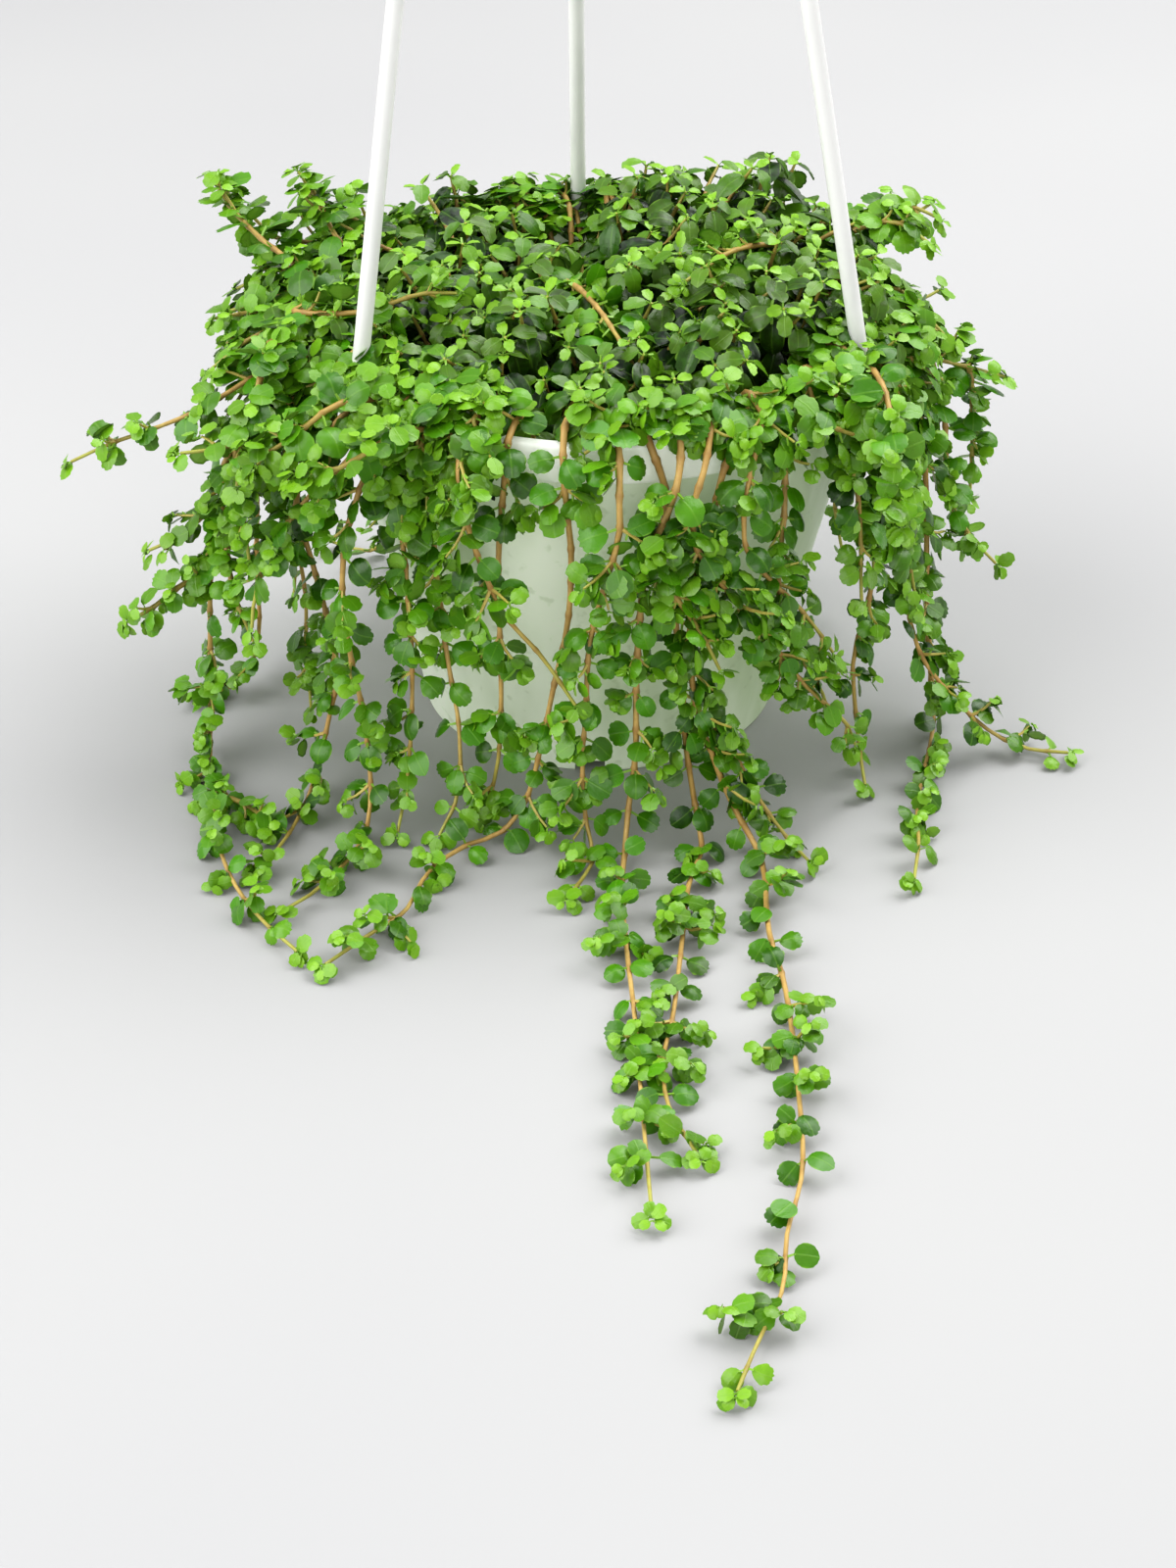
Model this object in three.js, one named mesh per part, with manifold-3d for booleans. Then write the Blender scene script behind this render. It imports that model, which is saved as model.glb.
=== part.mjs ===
// A potted pilea depressa: a hanging pot filled with soil, the hanger's rods and hook, dense tufts of round
// leaves in the middle, and leafy stems that trail over the rim, some of them on to the surface below.
// Millimetres, +Z up. The origin is the centre of the pot's underside, and -Y is the front.
import * as THREE from "three";
import { mergeVertices } from "three/addons/utils/BufferGeometryUtils.js";
import Module from "manifold-3d";

const wasm = await Module();
wasm.setup();

// The pot
const RIM_RADIUS = 80;
const POT_HEIGHT = 120;
const BAND_HEIGHT = 12;
const BASE_RADIUS = 54;
const WALL = 1.8;
const SLOT = { count: 4, width: 9, height: 4, depth: 14, firstAngle: -93 };
const POT_SIDES = 28;
const GAP = 0.3;

// The soil
const SOIL_TOP = 104;
const ROOT_DEPTH = 6;
const STEM_HOLE = { radius: 3.4, sides: 3 };
const TUFT_HOLE = { radius: 3.6, sides: 5 };

// The hanger
const ROD_ANGLES = [94.5, 214.5, 334.5];
const ROD_NAMES = ["rear", "left", "right"];
const ROD_FOOT_RADIUS = 82;
const ROD_RADIUS = 2.4;
const ROD_BOW = 3;
const ROD_STEPS = 6;
const PIN = { radius: 1.4, length: 8 };
const COLLAR = { radius: 3.1, height: 2 };
const EAR = { radius: 4, top: 121, height: 11 };
const CROWN = { x: -7, y: -4, z: 470, radius: 16, brim: 7, neck: 7, height: 17, ring: 11, socketDepth: 6 };
const HOOK = { wire: 2.6, shank: 22, bend: 17, mouth: -40, turn: 27.5, steps: 14 };

// Leafy stems
const STEM_RADIUS = 1.4;
const STEM_SAG = 1.3;
const FRAME_STEP = 3;
const STEM_STEP = { shortest: 9, longest: 45 };
const STALK_WIDTH = 1.6;
const LEAF = { length: 11.5, halfWidth: 4.4, thickness: 0.66, droop: 0.9 };
const PAIR_STEP = 41;
const FIRST_PAIR = 32;
const SHOOT_FIRST_PAIR = 14;
const PAIR_LIFT = { even: 4, odd: 32, spread: 9 };
const PAIR_LEAN = { forward: 0.25, spread: 0.28 };
const TIP_LEAF = 0.7;
const CLEARANCE = 0.35;
const FLOOR_CLEARANCE = 0.2;
const LEANS_TRIED = [0, 0.45, -0.45, 0.9];
const TURNS_TRIED = [0, 18, -18, 36, -36];
const LIGHT = { outward: 0.6, up: 0.8 };
const UPPER_IN_FACE = 1.8;

// Tufts
const TUFT = { ring: 37, radius: 14.5, under: 2.5, stalk: 2.8 };
const TUFT_LEAVES = { count: 9, scale: 1.3, sunk: 0.84, coverage: 1.15 };
const TUFT_LEAF_HEADING = { spread: 1.2, rise: 0.25, outward: 0.7 };
const GOLDEN_ANGLE = Math.PI * (3 - Math.sqrt(5));

const rad = THREE.MathUtils.degToRad;
const UP = new THREE.Vector3(0, 0, 1);

const matte = (color, roughness) => new THREE.MeshStandardMaterial({ color, roughness, metalness: 0 });
const materials = {
  pot: matte(0xdfe3dc, 0.45),
  hanger: matte(0xf2f2f0, 0.4),
  soil: matte(0x241c15, 1),
  foliage: matte(0x3f7d1d, 0.45),
};

// Closed solids from three.js geometries, and back
function solidOf(geometry) {
  const bare = geometry.clone();
  bare.deleteAttribute("normal");
  bare.deleteAttribute("uv");
  const merged = mergeVertices(bare, 1e-4);
  return new wasm.Manifold(
    new wasm.Mesh({
      numProp: 3,
      vertProperties: new Float32Array(merged.attributes.position.array),
      triVerts: new Uint32Array(merged.index.array),
    }),
  );
}

const join = (solids) => solids.reduce((whole, next) => whole.add(next));

// Fused solids keep their largest body, and scraps cut loose on the way are dropped.
function largest(solid) {
  const bodies = solid.decompose();
  return bodies.reduce((best, body) => (body.volume() > best.volume() ? body : best));
}

function meshOf(name, solid, material) {
  const made = solid.getMesh();
  const geometry = new THREE.BufferGeometry();
  geometry.setAttribute("position", new THREE.BufferAttribute(made.vertProperties.slice(), 3));
  geometry.setIndex(new THREE.BufferAttribute(made.triVerts.slice(), 1));
  geometry.computeVertexNormals();
  const mesh = new THREE.Mesh(geometry, material);
  mesh.name = name;
  return mesh;
}

// A lathed body about +Z from [radius, height] pairs that run round the section.
function lathe(points, sides) {
  const profile = points.map(([r, z]) => new THREE.Vector2(r, z));
  return new THREE.LatheGeometry(profile, sides).rotateX(Math.PI / 2);
}

function cylinder(radius, height, sides, x, y, z) {
  return new THREE.CylinderGeometry(radius, radius, height, sides).rotateX(Math.PI / 2).translate(x, y, z);
}

// A tube of even radius along a curve
function tube(curve, radius, sides, steps) {
  const section = new THREE.Shape();
  for (let i = 0; i < sides; i++) {
    const turn = (2 * Math.PI * i) / sides;
    const move = i ? "lineTo" : "moveTo";
    section[move](radius * Math.cos(turn), radius * Math.sin(turn));
  }
  section.closePath();
  return new THREE.ExtrudeGeometry(section, { steps, extrudePath: curve, bevelEnabled: false });
}

// One repeatable draw in 0..1 for each stem, pair and purpose
function draw(stem, pair, purpose) {
  const value = Math.sin(stem * 12.9898 + pair * 78.233 + purpose * 37.719) * 43758.5453;
  return value - Math.floor(value);
}

const spread = (stem, pair, purpose, amount) => (2 * draw(stem, pair, purpose) - 1) * amount;

// The pot's wall outside, from the foot up to the rim band
const WALL_PROFILE = [
  [BASE_RADIUS, 0],
  [BASE_RADIUS + 2, 12],
  [BASE_RADIUS + 4.8, 28],
  [BASE_RADIUS + 10, 48],
  [BASE_RADIUS + 16, 72],
  [RIM_RADIUS - 2.4, POT_HEIGHT - BAND_HEIGHT],
];

function polar(radius, degrees, z = 0) {
  return new THREE.Vector3(radius * Math.cos(rad(degrees)), radius * Math.sin(rad(degrees)), z);
}

// The wall's profile moved inward, from the pot's floor up to the rim band, with fewer points
function insideProfile(inset) {
  const [, , low, middle, , top] = WALL_PROFILE;
  return [[BASE_RADIUS - inset + 0.3, inset], ...[low, middle, top].map(([r, z]) => [r - inset, z])];
}

function potSolid() {
  const section = [
    [0, 0],
    ...WALL_PROFILE,
    [RIM_RADIUS - 0.3, POT_HEIGHT - BAND_HEIGHT],
    [RIM_RADIUS, POT_HEIGHT - 1],
    [RIM_RADIUS - 1, POT_HEIGHT],
    [RIM_RADIUS - WALL - 1.4, POT_HEIGHT],
    ...insideProfile(WALL).reverse(),
    [0, WALL],
    [0, 0],
  ];
  let pot = solidOf(lathe(section, POT_SIDES));
  for (const angle of ROD_ANGLES) {
    const at = polar(ROD_FOOT_RADIUS, angle);
    const middle = EAR.top - EAR.height / 2;
    pot = pot.add(solidOf(cylinder(EAR.radius, EAR.height, 10, at.x, at.y, middle)));
    pot = pot.subtract(solidOf(cylinder(PIN.radius + GAP, EAR.height + 2, 6, at.x, at.y, middle)));
  }
  // Drain slots through the corner of the base
  for (let i = 0; i < SLOT.count; i++) {
    const box = new THREE.BoxGeometry(SLOT.depth, SLOT.width, 2 * SLOT.height).translate(BASE_RADIUS, 0, 0);
    pot = pot.subtract(solidOf(box.rotateZ(rad(SLOT.firstAngle + (360 * i) / SLOT.count))));
  }
  return pot;
}

function soilSolid(roots) {
  const side = insideProfile(WALL + 2 * GAP);
  const [topRadius, topHeight] = side.pop();
  const [radius, height] = side[side.length - 1];
  const share = (SOIL_TOP - height) / (topHeight - height);
  const section = [
    [0, side[0][1]],
    ...side,
    [radius + share * (topRadius - radius), SOIL_TOP],
    [0, SOIL_TOP],
    [0, side[0][1]],
  ];
  return roots.reduce((soil, root) => soil.subtract(rootHole(root)), solidOf(lathe(section, POT_SIDES)));
}

// A plain hole in the soil for a stem, with one corner towards the pot's axis
const holeTurn = ({ x, y }) => Math.atan2(y, x) - Math.PI / 2;

function rootHole({ x, y, hole: { radius, sides } }) {
  const prism = cylinder(radius, 2 * (ROOT_DEPTH + 2 * GAP), sides, 0, 0, 0);
  return solidOf(prism.rotateZ(holeTurn({ x, y })).translate(x, y, SOIL_TOP));
}

// A rod leans from its ear to the crown and bows a little outward on the way.
function rodRoute(angle, beyond = 0) {
  const foot = polar(ROD_FOOT_RADIUS, angle, EAR.top + COLLAR.height / 2);
  const head = polar(CROWN.ring, angle, CROWN.z + CROWN.socketDepth);
  head.add(new THREE.Vector3(CROWN.x, CROWN.y, 0));
  const middle = foot.clone().lerp(head, 0.45).add(polar(ROD_BOW, angle));
  const end = head.clone().addScaledVector(head.clone().sub(middle).normalize(), beyond);
  return new THREE.CatmullRomCurve3([foot, middle, end]);
}

function rodSolid(angle) {
  const { x, y } = polar(ROD_FOOT_RADIUS, angle);
  const seat = EAR.top + GAP;
  const collar = cylinder(COLLAR.radius, COLLAR.height, 8, x, y, seat + COLLAR.height / 2);
  const pin = cylinder(PIN.radius, PIN.length + 1, 6, x, y, seat + (1 - PIN.length) / 2);
  return join([tube(rodRoute(angle), ROD_RADIUS, 6, ROD_STEPS), collar, pin].map(solidOf));
}

// The crown is a small hub with a blind socket for each rod, and carries the hook.
function crownSolid() {
  const { x, y, z, radius, brim, neck, height } = CROWN;
  const hub = lathe([[0, 0], [radius, 0], [radius, brim], [neck, height], [0, height], [0, 0]], 12);
  const foot = z + height - 3;
  const hookPoints = [new THREE.Vector3(x, y, foot)];
  for (let angle = 180; angle >= HOOK.mouth; angle -= HOOK.turn) {
    const across = x + HOOK.bend * (1 + Math.cos(rad(angle)));
    hookPoints.push(new THREE.Vector3(across, y, foot + HOOK.shank + HOOK.bend * Math.sin(rad(angle))));
  }
  const hook = tube(new THREE.CatmullRomCurve3(hookPoints), HOOK.wire, 6, HOOK.steps);
  const crown = join([hub.translate(x, y, z), hook].map(solidOf));
  const sockets = ROD_ANGLES.map((angle) => tube(rodRoute(angle, GAP), ROD_RADIUS + GAP, 6, ROD_STEPS));
  return sockets.reduce((whole, socket) => whole.subtract(solidOf(socket)), crown);
}

// A leaf's outline from the right of its stalk round the tip to the left: [share of the length, share of the
// half width, share of the droop]. The blade is widest beyond its middle, with lobes round a notched tip.
const BLADE_EDGE = [
  [0.4, 0.8, 0.6],
  [0.76, 1, 1],
  [0.84, 0.5, 0.7],
  [1, 0.08, 1],
  [0.72, -0.97, 1],
  [0.38, -0.8, 0.6],
];
// Triangles of one face, by outline points, where 0 and the last point are the two sides of the stalk
const BLADE_FACES = [[7, 0, 1], [7, 1, 6], [6, 1, 2], [6, 2, 5], [5, 2, 3], [5, 3, 4]];
const OUTLINE = BLADE_EDGE.length + 2;
const BLADE_START = 0.3;

// The free points of a blade's upper and lower face. Along runs to the tip, face is its upper side, and every
// second leaf is the mirror image.
function bladeEdge(root, { along, face, scale, mirrored }, grow) {
  const right = new THREE.Vector3().crossVectors(along, face);
  const edge = mirrored ? [...BLADE_EDGE].reverse().map(([x, y, z]) => [x, -y, z]) : BLADE_EDGE;
  return [1, -1].map((side) =>
    edge.map(([reach, width, droop]) =>
      root
        .clone()
        .addScaledVector(along, reach * (LEAF.length * scale + grow))
        .addScaledVector(right, width * (LEAF.halfWidth * scale + grow))
        .addScaledVector(face, side * (LEAF.thickness / 2 + grow) - droop * LEAF.droop * scale),
    ),
  );
}

// Triangles between an upper and a lower outline of a blade, as indices into a mesh
function bladeTriangles(upper, lower, mirrored) {
  const flip = (k) => (mirrored ? OUTLINE - 1 - k : k);
  const triangles = [];
  for (const [a, b, c] of BLADE_FACES) {
    const [i, j, k] = mirrored ? [flip(a), flip(c), flip(b)] : [a, b, c];
    triangles.push(upper[i], upper[j], upper[k], lower[i], lower[k], lower[j]);
  }
  for (let i = 0; i < OUTLINE - 1; i++)
    triangles.push(lower[i], lower[i + 1], upper[i + 1], lower[i], upper[i + 1], upper[i]);
  return triangles;
}

function solidFrom(points, triangles) {
  return new wasm.Manifold(
    new wasm.Mesh({
      numProp: 3,
      vertProperties: new Float32Array(points.flatMap((p) => [p.x, p.y, p.z])),
      triVerts: new Uint32Array(triangles),
    }),
  );
}

// A blade as a body of its own, with its stalk's end at the root or a share of the length away from it
function bladeSolid(root, leaf, grow = 0, from = 0) {
  const right = new THREE.Vector3().crossVectors(leaf.along, leaf.face);
  const [upper, lower] = bladeEdge(root, leaf, grow);
  const stalk = (side, out) =>
    root
      .clone()
      .addScaledVector(leaf.along, from * LEAF.length * leaf.scale)
      .addScaledVector(right, out * (STALK_WIDTH / 2 + grow))
      .addScaledVector(leaf.face, side * (LEAF.thickness / 2 + grow));
  const points = [stalk(1, 1), ...upper, stalk(1, -1), stalk(-1, 1), ...lower, stalk(-1, -1)];
  const top = Array.from({ length: OUTLINE }, (_, i) => i);
  const bottom = top.map((i) => i + OUTLINE);
  const last = OUTLINE - 1;
  const end = [top[last], bottom[last], bottom[0], top[last], bottom[0], top[0]];
  return solidFrom(points, [...bladeTriangles(top, bottom, leaf.mirrored), ...end]);
}

// The light comes from above and from outside the pot, and blades turn to it.
function lightAt(point) {
  const outward = new THREE.Vector3(point.x, point.y, 0).normalize();
  return outward.multiplyScalar(LIGHT.outward).addScaledVector(UP, LIGHT.up);
}

// The upper side of a blade: its own upper side, twisted towards the light as far as its direction allows
function faceFor(along, light, upper) {
  const face = light.clone().addScaledVector(upper, UPPER_IN_FACE);
  return face.addScaledVector(along, -face.dot(along)).normalize();
}

// Cross-sections along a stem, each with its point, direction, upper side and sideways direction. The upper
// side starts towards the pot's axis and is carried along the curve in small steps, so it is outermost where
// the stem hangs and uppermost on the ground.
function sections(curve, reaches) {
  const length = curve.getLength();
  const first = curve.getPointAt(0);
  const top = new THREE.Vector3(-first.x, -first.y, 0).normalize();
  const tangent = new THREE.Vector3();
  let walked = 0;
  return reaches.map((reach) => {
    do {
      walked = Math.min(walked + FRAME_STEP, reach);
      tangent.copy(curve.getTangentAt(Math.min(walked / length, 1))).normalize();
      top.addScaledVector(tangent, -top.dot(tangent)).normalize();
    } while (walked < reach);
    const side = new THREE.Vector3().crossVectors(top, tangent);
    const point = curve.getPointAt(Math.min(reach / length, 1));
    return { point, tangent: tangent.clone(), top: top.clone(), side };
  });
}

// Where a stem needs cross-sections so that the straight pieces between them stay close to its curve
function stepsAlong(curve, from, to) {
  const length = curve.getLength();
  const at = (reach) => curve.getPointAt(reach / length);
  const sagAt = (share) =>
    at(from + share * (to - from)).distanceTo(at(from).lerp(at(to), share));
  const sag = Math.max(sagAt(0.5), sagAt(0.25), sagAt(0.75));
  const run = to - from;
  if (run < STEM_STEP.shortest || (sag < STEM_SAG && run < STEM_STEP.longest)) return [to];
  const middle = (from + to) / 2;
  return [...stepsAlong(curve, from, middle), ...stepsAlong(curve, middle, to)];
}

// A three-sided stem with its leaves grown out of its two upper sides: each joint is two close sections, and
// a leaf takes the place of the stem's side between them.
function leafySolid(curve, joints) {
  const reaches = [0, ROOT_DEPTH];
  const opens = new Map();
  for (const { reach, leaves } of joints) {
    reaches.push(...stepsAlong(curve, reaches[reaches.length - 1], reach - STALK_WIDTH / 2));
    opens.set(reaches.length - 1, leaves);
    reaches.push(reach + STALK_WIDTH / 2);
  }
  reaches.push(curve.getLength());
  const rings = sections(curve, reaches);
  const points = rings.flatMap(({ point, top, side }, i) => {
    const radius = STEM_RADIUS * (1 - 0.4 * (i / (rings.length - 1)));
    return [0, 120, 240].map((turn) =>
      point
        .clone()
        .addScaledVector(top, radius * Math.cos(rad(turn)))
        .addScaledVector(side, -radius * Math.sin(rad(turn))),
    );
  });
  // Corner 0 is the ridge, 1 the left one and 2 the right one.
  const triangles = [0, 2, 1];
  for (let i = 0; i < rings.length - 1; i++) {
    const leaves = opens.get(i) ?? [];
    for (let corner = 0; corner < 3; corner++) {
      const a = 3 * i + corner;
      const b = 3 * i + ((corner + 1) % 3);
      const leaf = corner === 0 ? leaves[1] : corner === 2 ? leaves[0] : null;
      if (!leaf) {
        triangles.push(a, b, b + 3, a, b + 3, a + 3);
        continue;
      }
      const isRight = corner === 2;
      const ridge = 3 * i;
      const under = ridge + (isRight ? 2 : 1);
      const [near, far] = isRight ? [3, 0] : [0, 3];
      const [upper, lower] = bladeEdge(leaf.root, leaf, 0);
      const fromUpper = points.push(...upper) - upper.length;
      const fromLower = points.push(...lower) - lower.length;
      triangles.push(
        ...bladeTriangles(
          [ridge + near, ...upper.map((_, k) => fromUpper + k), ridge + far],
          [under + near, ...lower.map((_, k) => fromLower + k), under + far],
          leaf.mirrored,
        ),
      );
    }
  }
  const last = 3 * (rings.length - 1);
  triangles.push(last, last + 1, last + 2);
  return solidFrom(points, triangles);
}

// Stems: an angle and radius for the root in the soil, the height at which it passes over the rim, and the
// route outside the rim. Shoots start on the stem at the route point they name.
const STEMS = [
  { name: "left_upper", root: [156, 62], over: 128,
    route: [[-84, 40, 129], [-97, 43, 129], [-106, 47, 136], [-113, 50, 142]] },
  { name: "left_arching", root: [142, 60], over: 129,
    route: [[-74, 47, 134], [-82, 50, 137], [-91, 55, 140]] },
  { name: "left_low", root: [187, 66], over: 125,
    route: [[-88, -16, 115], [-105, -33, 90], [-113, -38, 79], [-121, -40, 72], [-131, -38, 66]] },
  { name: "left_reaching", root: [193, 60], over: 129,
    route: [[-88, -24, 122], [-101, -33, 117], [-114, -39, 111], [-126, -42, 107], [-138, -43, 103],
      [-150, -45, 98]] },
  { name: "left_inner", root: [198.5, 66], over: 124,
    route: [[-87, -29, 107], [-91, -30, 90], [-90, -30, 72], [-87, -33, 50], [-87, -38, 32],
      [-86, -44, 16]] },
  { name: "left_long", root: [204, 60], over: 127,
    route: [[-86, -36, 120], [-98, -37, 108], [-107, -38, 95], [-109, -39, 81], [-113, -41, 62],
      [-115, -42, 36], [-116, -44, 18], [-116, -52, 5], [-113, -71, 4], [-109, -98, 4], [-102, -120, 4],
      [-93, -137, 4], [-82, -152, 4]],
    shoots: [
      { from: 4, route: [[-122, -50, 60], [-130, -54, 55], [-136, -55, 52]] },
      { from: 3, route: [[-107, -49, 72], [-105, -56, 62], [-100, -60, 48]] },
      { from: 8, route: [[-107, -77, 5], [-100, -84, 6], [-95, -94, 6]] },
    ] },
  { name: "left_yellow", root: [208.5, 66], over: 125,
    route: [[-88, -50, 118], [-101, -60, 111], [-116, -64, 110]],
    shoots: [{ from: 1, route: [[-101, -64, 101], [-100, -64, 90], [-99, -64, 77]] }] },
  { name: "left_floor", root: [220, 60], over: 127,
    route: [[-72, -59, 118], [-82, -58, 104], [-86, -53, 86], [-83, -54, 74], [-78, -58, 52], [-76, -61, 38],
      [-79, -64, 24], [-83, -68, 8], [-86, -80, 4], [-91, -100, 4], [-97, -114, 4]] },
  { name: "left_short", root: [224.5, 66], over: 124,
    route: [[-70, -67, 109], [-83, -68, 96], [-93, -66, 80], [-98, -67, 65], [-99, -68, 57]] },
  { name: "front_left_floor", root: [230, 60], over: 127,
    route: [[-61, -68, 114], [-69, -75, 95], [-72, -75, 76], [-71, -76, 56], [-67, -80, 32], [-66, -86, 10],
      [-68, -97, 4], [-80, -124, 4], [-88, -133, 4]] },
  { name: "front_left_hanging", root: [235, 66], over: 124,
    route: [[-51, -71, 112], [-55, -74, 100], [-54, -77, 80], [-53, -80, 54], [-54, -82, 29], [-56, -85, 12],
      [-58, -93, 4]] },
  { name: "front_left_inner", root: [240.5, 60], over: 127,
    route: [[-43, -75, 114], [-46, -75, 92], [-45, -75, 70], [-43, -78, 52], [-40, -84, 32], [-41, -89, 13],
      [-46, -95, 4]] },
  { name: "front_yellow_tip", root: [246, 66], over: 127,
    route: [[-38, -86, 119], [-37, -91, 107], [-32, -94, 90], [-26, -95, 76], [-16, -97, 64],
      [-7, -99, 50]] },
  { name: "front_left_straight", root: [252.5, 60], over: 124,
    route: [[-26, -81, 111], [-28, -82, 88], [-28, -83, 62], [-28, -85, 40], [-30, -86, 18], [-35, -87, 5]] },
  { name: "front_sweeping", root: [263, 66], over: 125,
    route: [[-10, -86, 117], [-9, -87, 103], [-8, -87, 91], [-9, -88, 70], [-13, -89, 50], [-17, -91, 30],
      [-22, -92, 12], [-29, -94, 4], [-38, -100, 4], [-48, -113, 4], [-54, -133, 4], [-63, -144, 4],
      [-74, -158, 4]] },
  { name: "front_centre", root: [273, 60], over: 127,
    route: [[5, -88, 121], [5, -93, 110], [5, -93, 100], [1, -94, 84], [-3, -94, 66], [-4, -95, 45],
      [-5, -96, 30], [-4, -99, 12], [-2, -106, 4], [-5, -117, 4], [-9, -126, 4]] },
  { name: "front_middle_inner", root: [279, 66], over: 124,
    route: [[17, -83, 111], [18, -83, 98], [20, -83, 84], [21, -86, 68], [23, -89, 50], [24, -91, 34],
      [27, -93, 14], [29, -100, 4], [25, -118, 4], [22, -149, 4], [19, -180, 4], [16, -200, 4],
      [17, -219, 4], [24, -239, 4]] },
  { name: "front_middle", root: [285, 60], over: 127,
    route: [[21, -89, 116], [18, -91, 105], [13, -91, 93], [11, -91, 75], [10, -92, 50], [10, -93, 30],
      [8, -96, 13], [7, -104, 4], [6, -122, 4], [7, -149, 4], [9, -184, 4], [10, -213, 4], [11, -238, 4],
      [12, -261, 4]],
    shoots: [{ from: 2, route: [[19, -95, 84], [27, -95, 72], [33, -95, 59]] }] },
  { name: "front_right_hanging", root: [291, 66], over: 128,
    route: [[28, -88, 118], [25, -91, 107], [26, -91, 95], [34, -90, 82], [41, -88, 72], [49, -85, 60],
      [59, -80, 44], [70, -76, 31], [74, -71, 20]] },
  { name: "front_longest", root: [296.5, 60], over: 124,
    route: [[33, -80, 111], [30, -83, 97], [26, -85, 80], [25, -87, 62], [27, -89, 43], [32, -91, 28],
      [38, -95, 14], [44, -101, 5], [46, -112, 4], [46, -142, 4], [49, -168, 4], [50, -213, 4],
      [49, -245, 4], [44, -268, 4], [42, -287, 4], [35, -306, 4], [30, -321, 4]],
    shoots: [{ from: 4, route: [[36, -89, 31], [46, -93, 14], [54, -99, 5], [59, -108, 4]] }] },
  { name: "front_right_upper", root: [302, 66], over: 128,
    route: [[42, -79, 118], [39, -86, 104], [40, -87, 92], [47, -84, 81], [54, -80, 72], [61, -76, 61],
      [66, -73, 52]] },
  { name: "front_right_inner", root: [308.5, 60], over: 124,
    route: [[51, -67, 111], [51, -70, 94], [50, -72, 78], [51, -71, 62], [57, -69, 48], [63, -67, 38],
      [66, -66, 29]] },
  { name: "right_dense", root: [325, 62], over: 126,
    route: [[73, -49, 118], [80, -50, 103], [81, -49, 83], [79, -50, 66], [77, -52, 52], [74, -54, 40],
      [75, -56, 24], [77, -59, 9], [78, -68, 4]] },
  { name: "right_reaching", root: [342, 62], over: 126,
    route: [[82, -27, 117], [87, -31, 98], [88, -34, 75], [90, -38, 53], [93, -40, 38], [98, -42, 28],
      [106, -44, 19], [115, -45, 10], [127, -47, 4], [140, -50, 4]] },
  { name: "right_floor", root: [349.5, 66], over: 125,
    route: [[85, -16, 116], [94, -18, 92], [97, -20, 63], [98, -24, 40], [100, -28, 20], [101, -35, 6],
      [99, -47, 4], [96, -60, 4], [92, -82, 4], [91, -98, 4], [88, -117, 4]] },
  { name: "right_spreading", root: [358, 60], over: 127,
    route: [[87, -1, 117], [98, 4, 108], [110, 8, 103], [121, 10, 99]],
    shoots: [
      { from: 1, route: [[103, 1, 88], [105, -3, 66], [112, -6, 54], [120, -9, 46]] },
      { from: 2, route: [[112, 10, 91], [113, 10, 74], [113, 8, 60]] },
    ] },
  { name: "right_rear_low", root: [13, 66], over: 126,
    route: [[85, 21, 119], [94, 25, 116], [102, 30, 118]] },
  { name: "right_thin", root: [27, 60], over: 124,
    route: [[74, 39, 112], [75, 40, 80], [74, 40, 60], [75, 40, 40], [78, 40, 24]] },
  { name: "right_upper", root: [38, 66], over: 128,
    route: [[74, 52, 129], [86, 56, 128], [96, 60, 130], [102, 62, 133]] },
  { name: "rear_right", root: [48, 60], over: 125,
    route: [[62, 66, 112], [68, 71, 80], [69, 73, 45], [70, 74, 30]] },
  { name: "rear_right_floor", root: [61, 66], over: 125,
    route: [[42, 78, 112], [46, 84, 80], [47, 86, 45], [49, 89, 14], [54, 99, 4], [60, 113, 4]] },
  { name: "rear_middle", root: [77, 60], over: 126,
    route: [[20, 86, 112], [22, 90, 75], [21, 92, 40], [19, 94, 24]] },
  { name: "rear_left_floor", root: [107, 66], over: 125,
    route: [[-25, 85, 112], [-27, 90, 75], [-27, 92, 45], [-28, 94, 12], [-32, 106, 4], [-40, 120, 4]] },
  { name: "rear_left", root: [121, 60], over: 126,
    route: [[-47, 77, 112], [-50, 82, 75], [-51, 84, 42]] },
  { name: "rear_left_outer", root: [133, 66], over: 124,
    route: [[-61, 63, 112], [-67, 68, 75], [-68, 70, 45], [-70, 72, 12], [-77, 78, 4], [-89, 84, 4]] },
  { name: "left_rear", root: [167, 66], over: 125,
    route: [[-87, 19, 113], [-93, 20, 80], [-94, 20, 45], [-96, 20, 20]] },
  { name: "left_behind", root: [177.5, 60], over: 127,
    route: [[-91, 2, 113], [-101, 0, 84], [-104, -3, 50], [-106, -5, 14], [-112, -9, 4], [-124, -15, 4]] },
];

// Tufts: one in the middle and a ring of six round it, higher on the right than on the left
const TUFTS = [
  { name: "middle", x: 0, y: 2, top: 139 },
  ...[20, 80, 140, 200, 260, 320].map((angle, i) => ({
    name: ["right", "rear_right", "rear_left", "left", "front_left", "front_right"][i],
    x: TUFT.ring * Math.cos(rad(angle)),
    y: TUFT.ring * Math.sin(rad(angle)),
    top: [147, 143, 138, 137, 134, 143][i],
  })),
];

const vector = ([x, y, z]) => new THREE.Vector3(x, y, z);

function stemCurve({ root: [angle, radius], over, route }) {
  return new THREE.CatmullRomCurve3(
    [
      polar(radius, angle, SOIL_TOP - ROOT_DEPTH),
      polar(radius, angle, SOIL_TOP),
      polar(radius + 3, angle, SOIL_TOP + 10),
      polar(74, angle, over),
      polar(RIM_RADIUS + 2.5, angle, over - 2),
      ...route.map(vector),
    ],
    false,
    "centripetal",
  );
}

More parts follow.
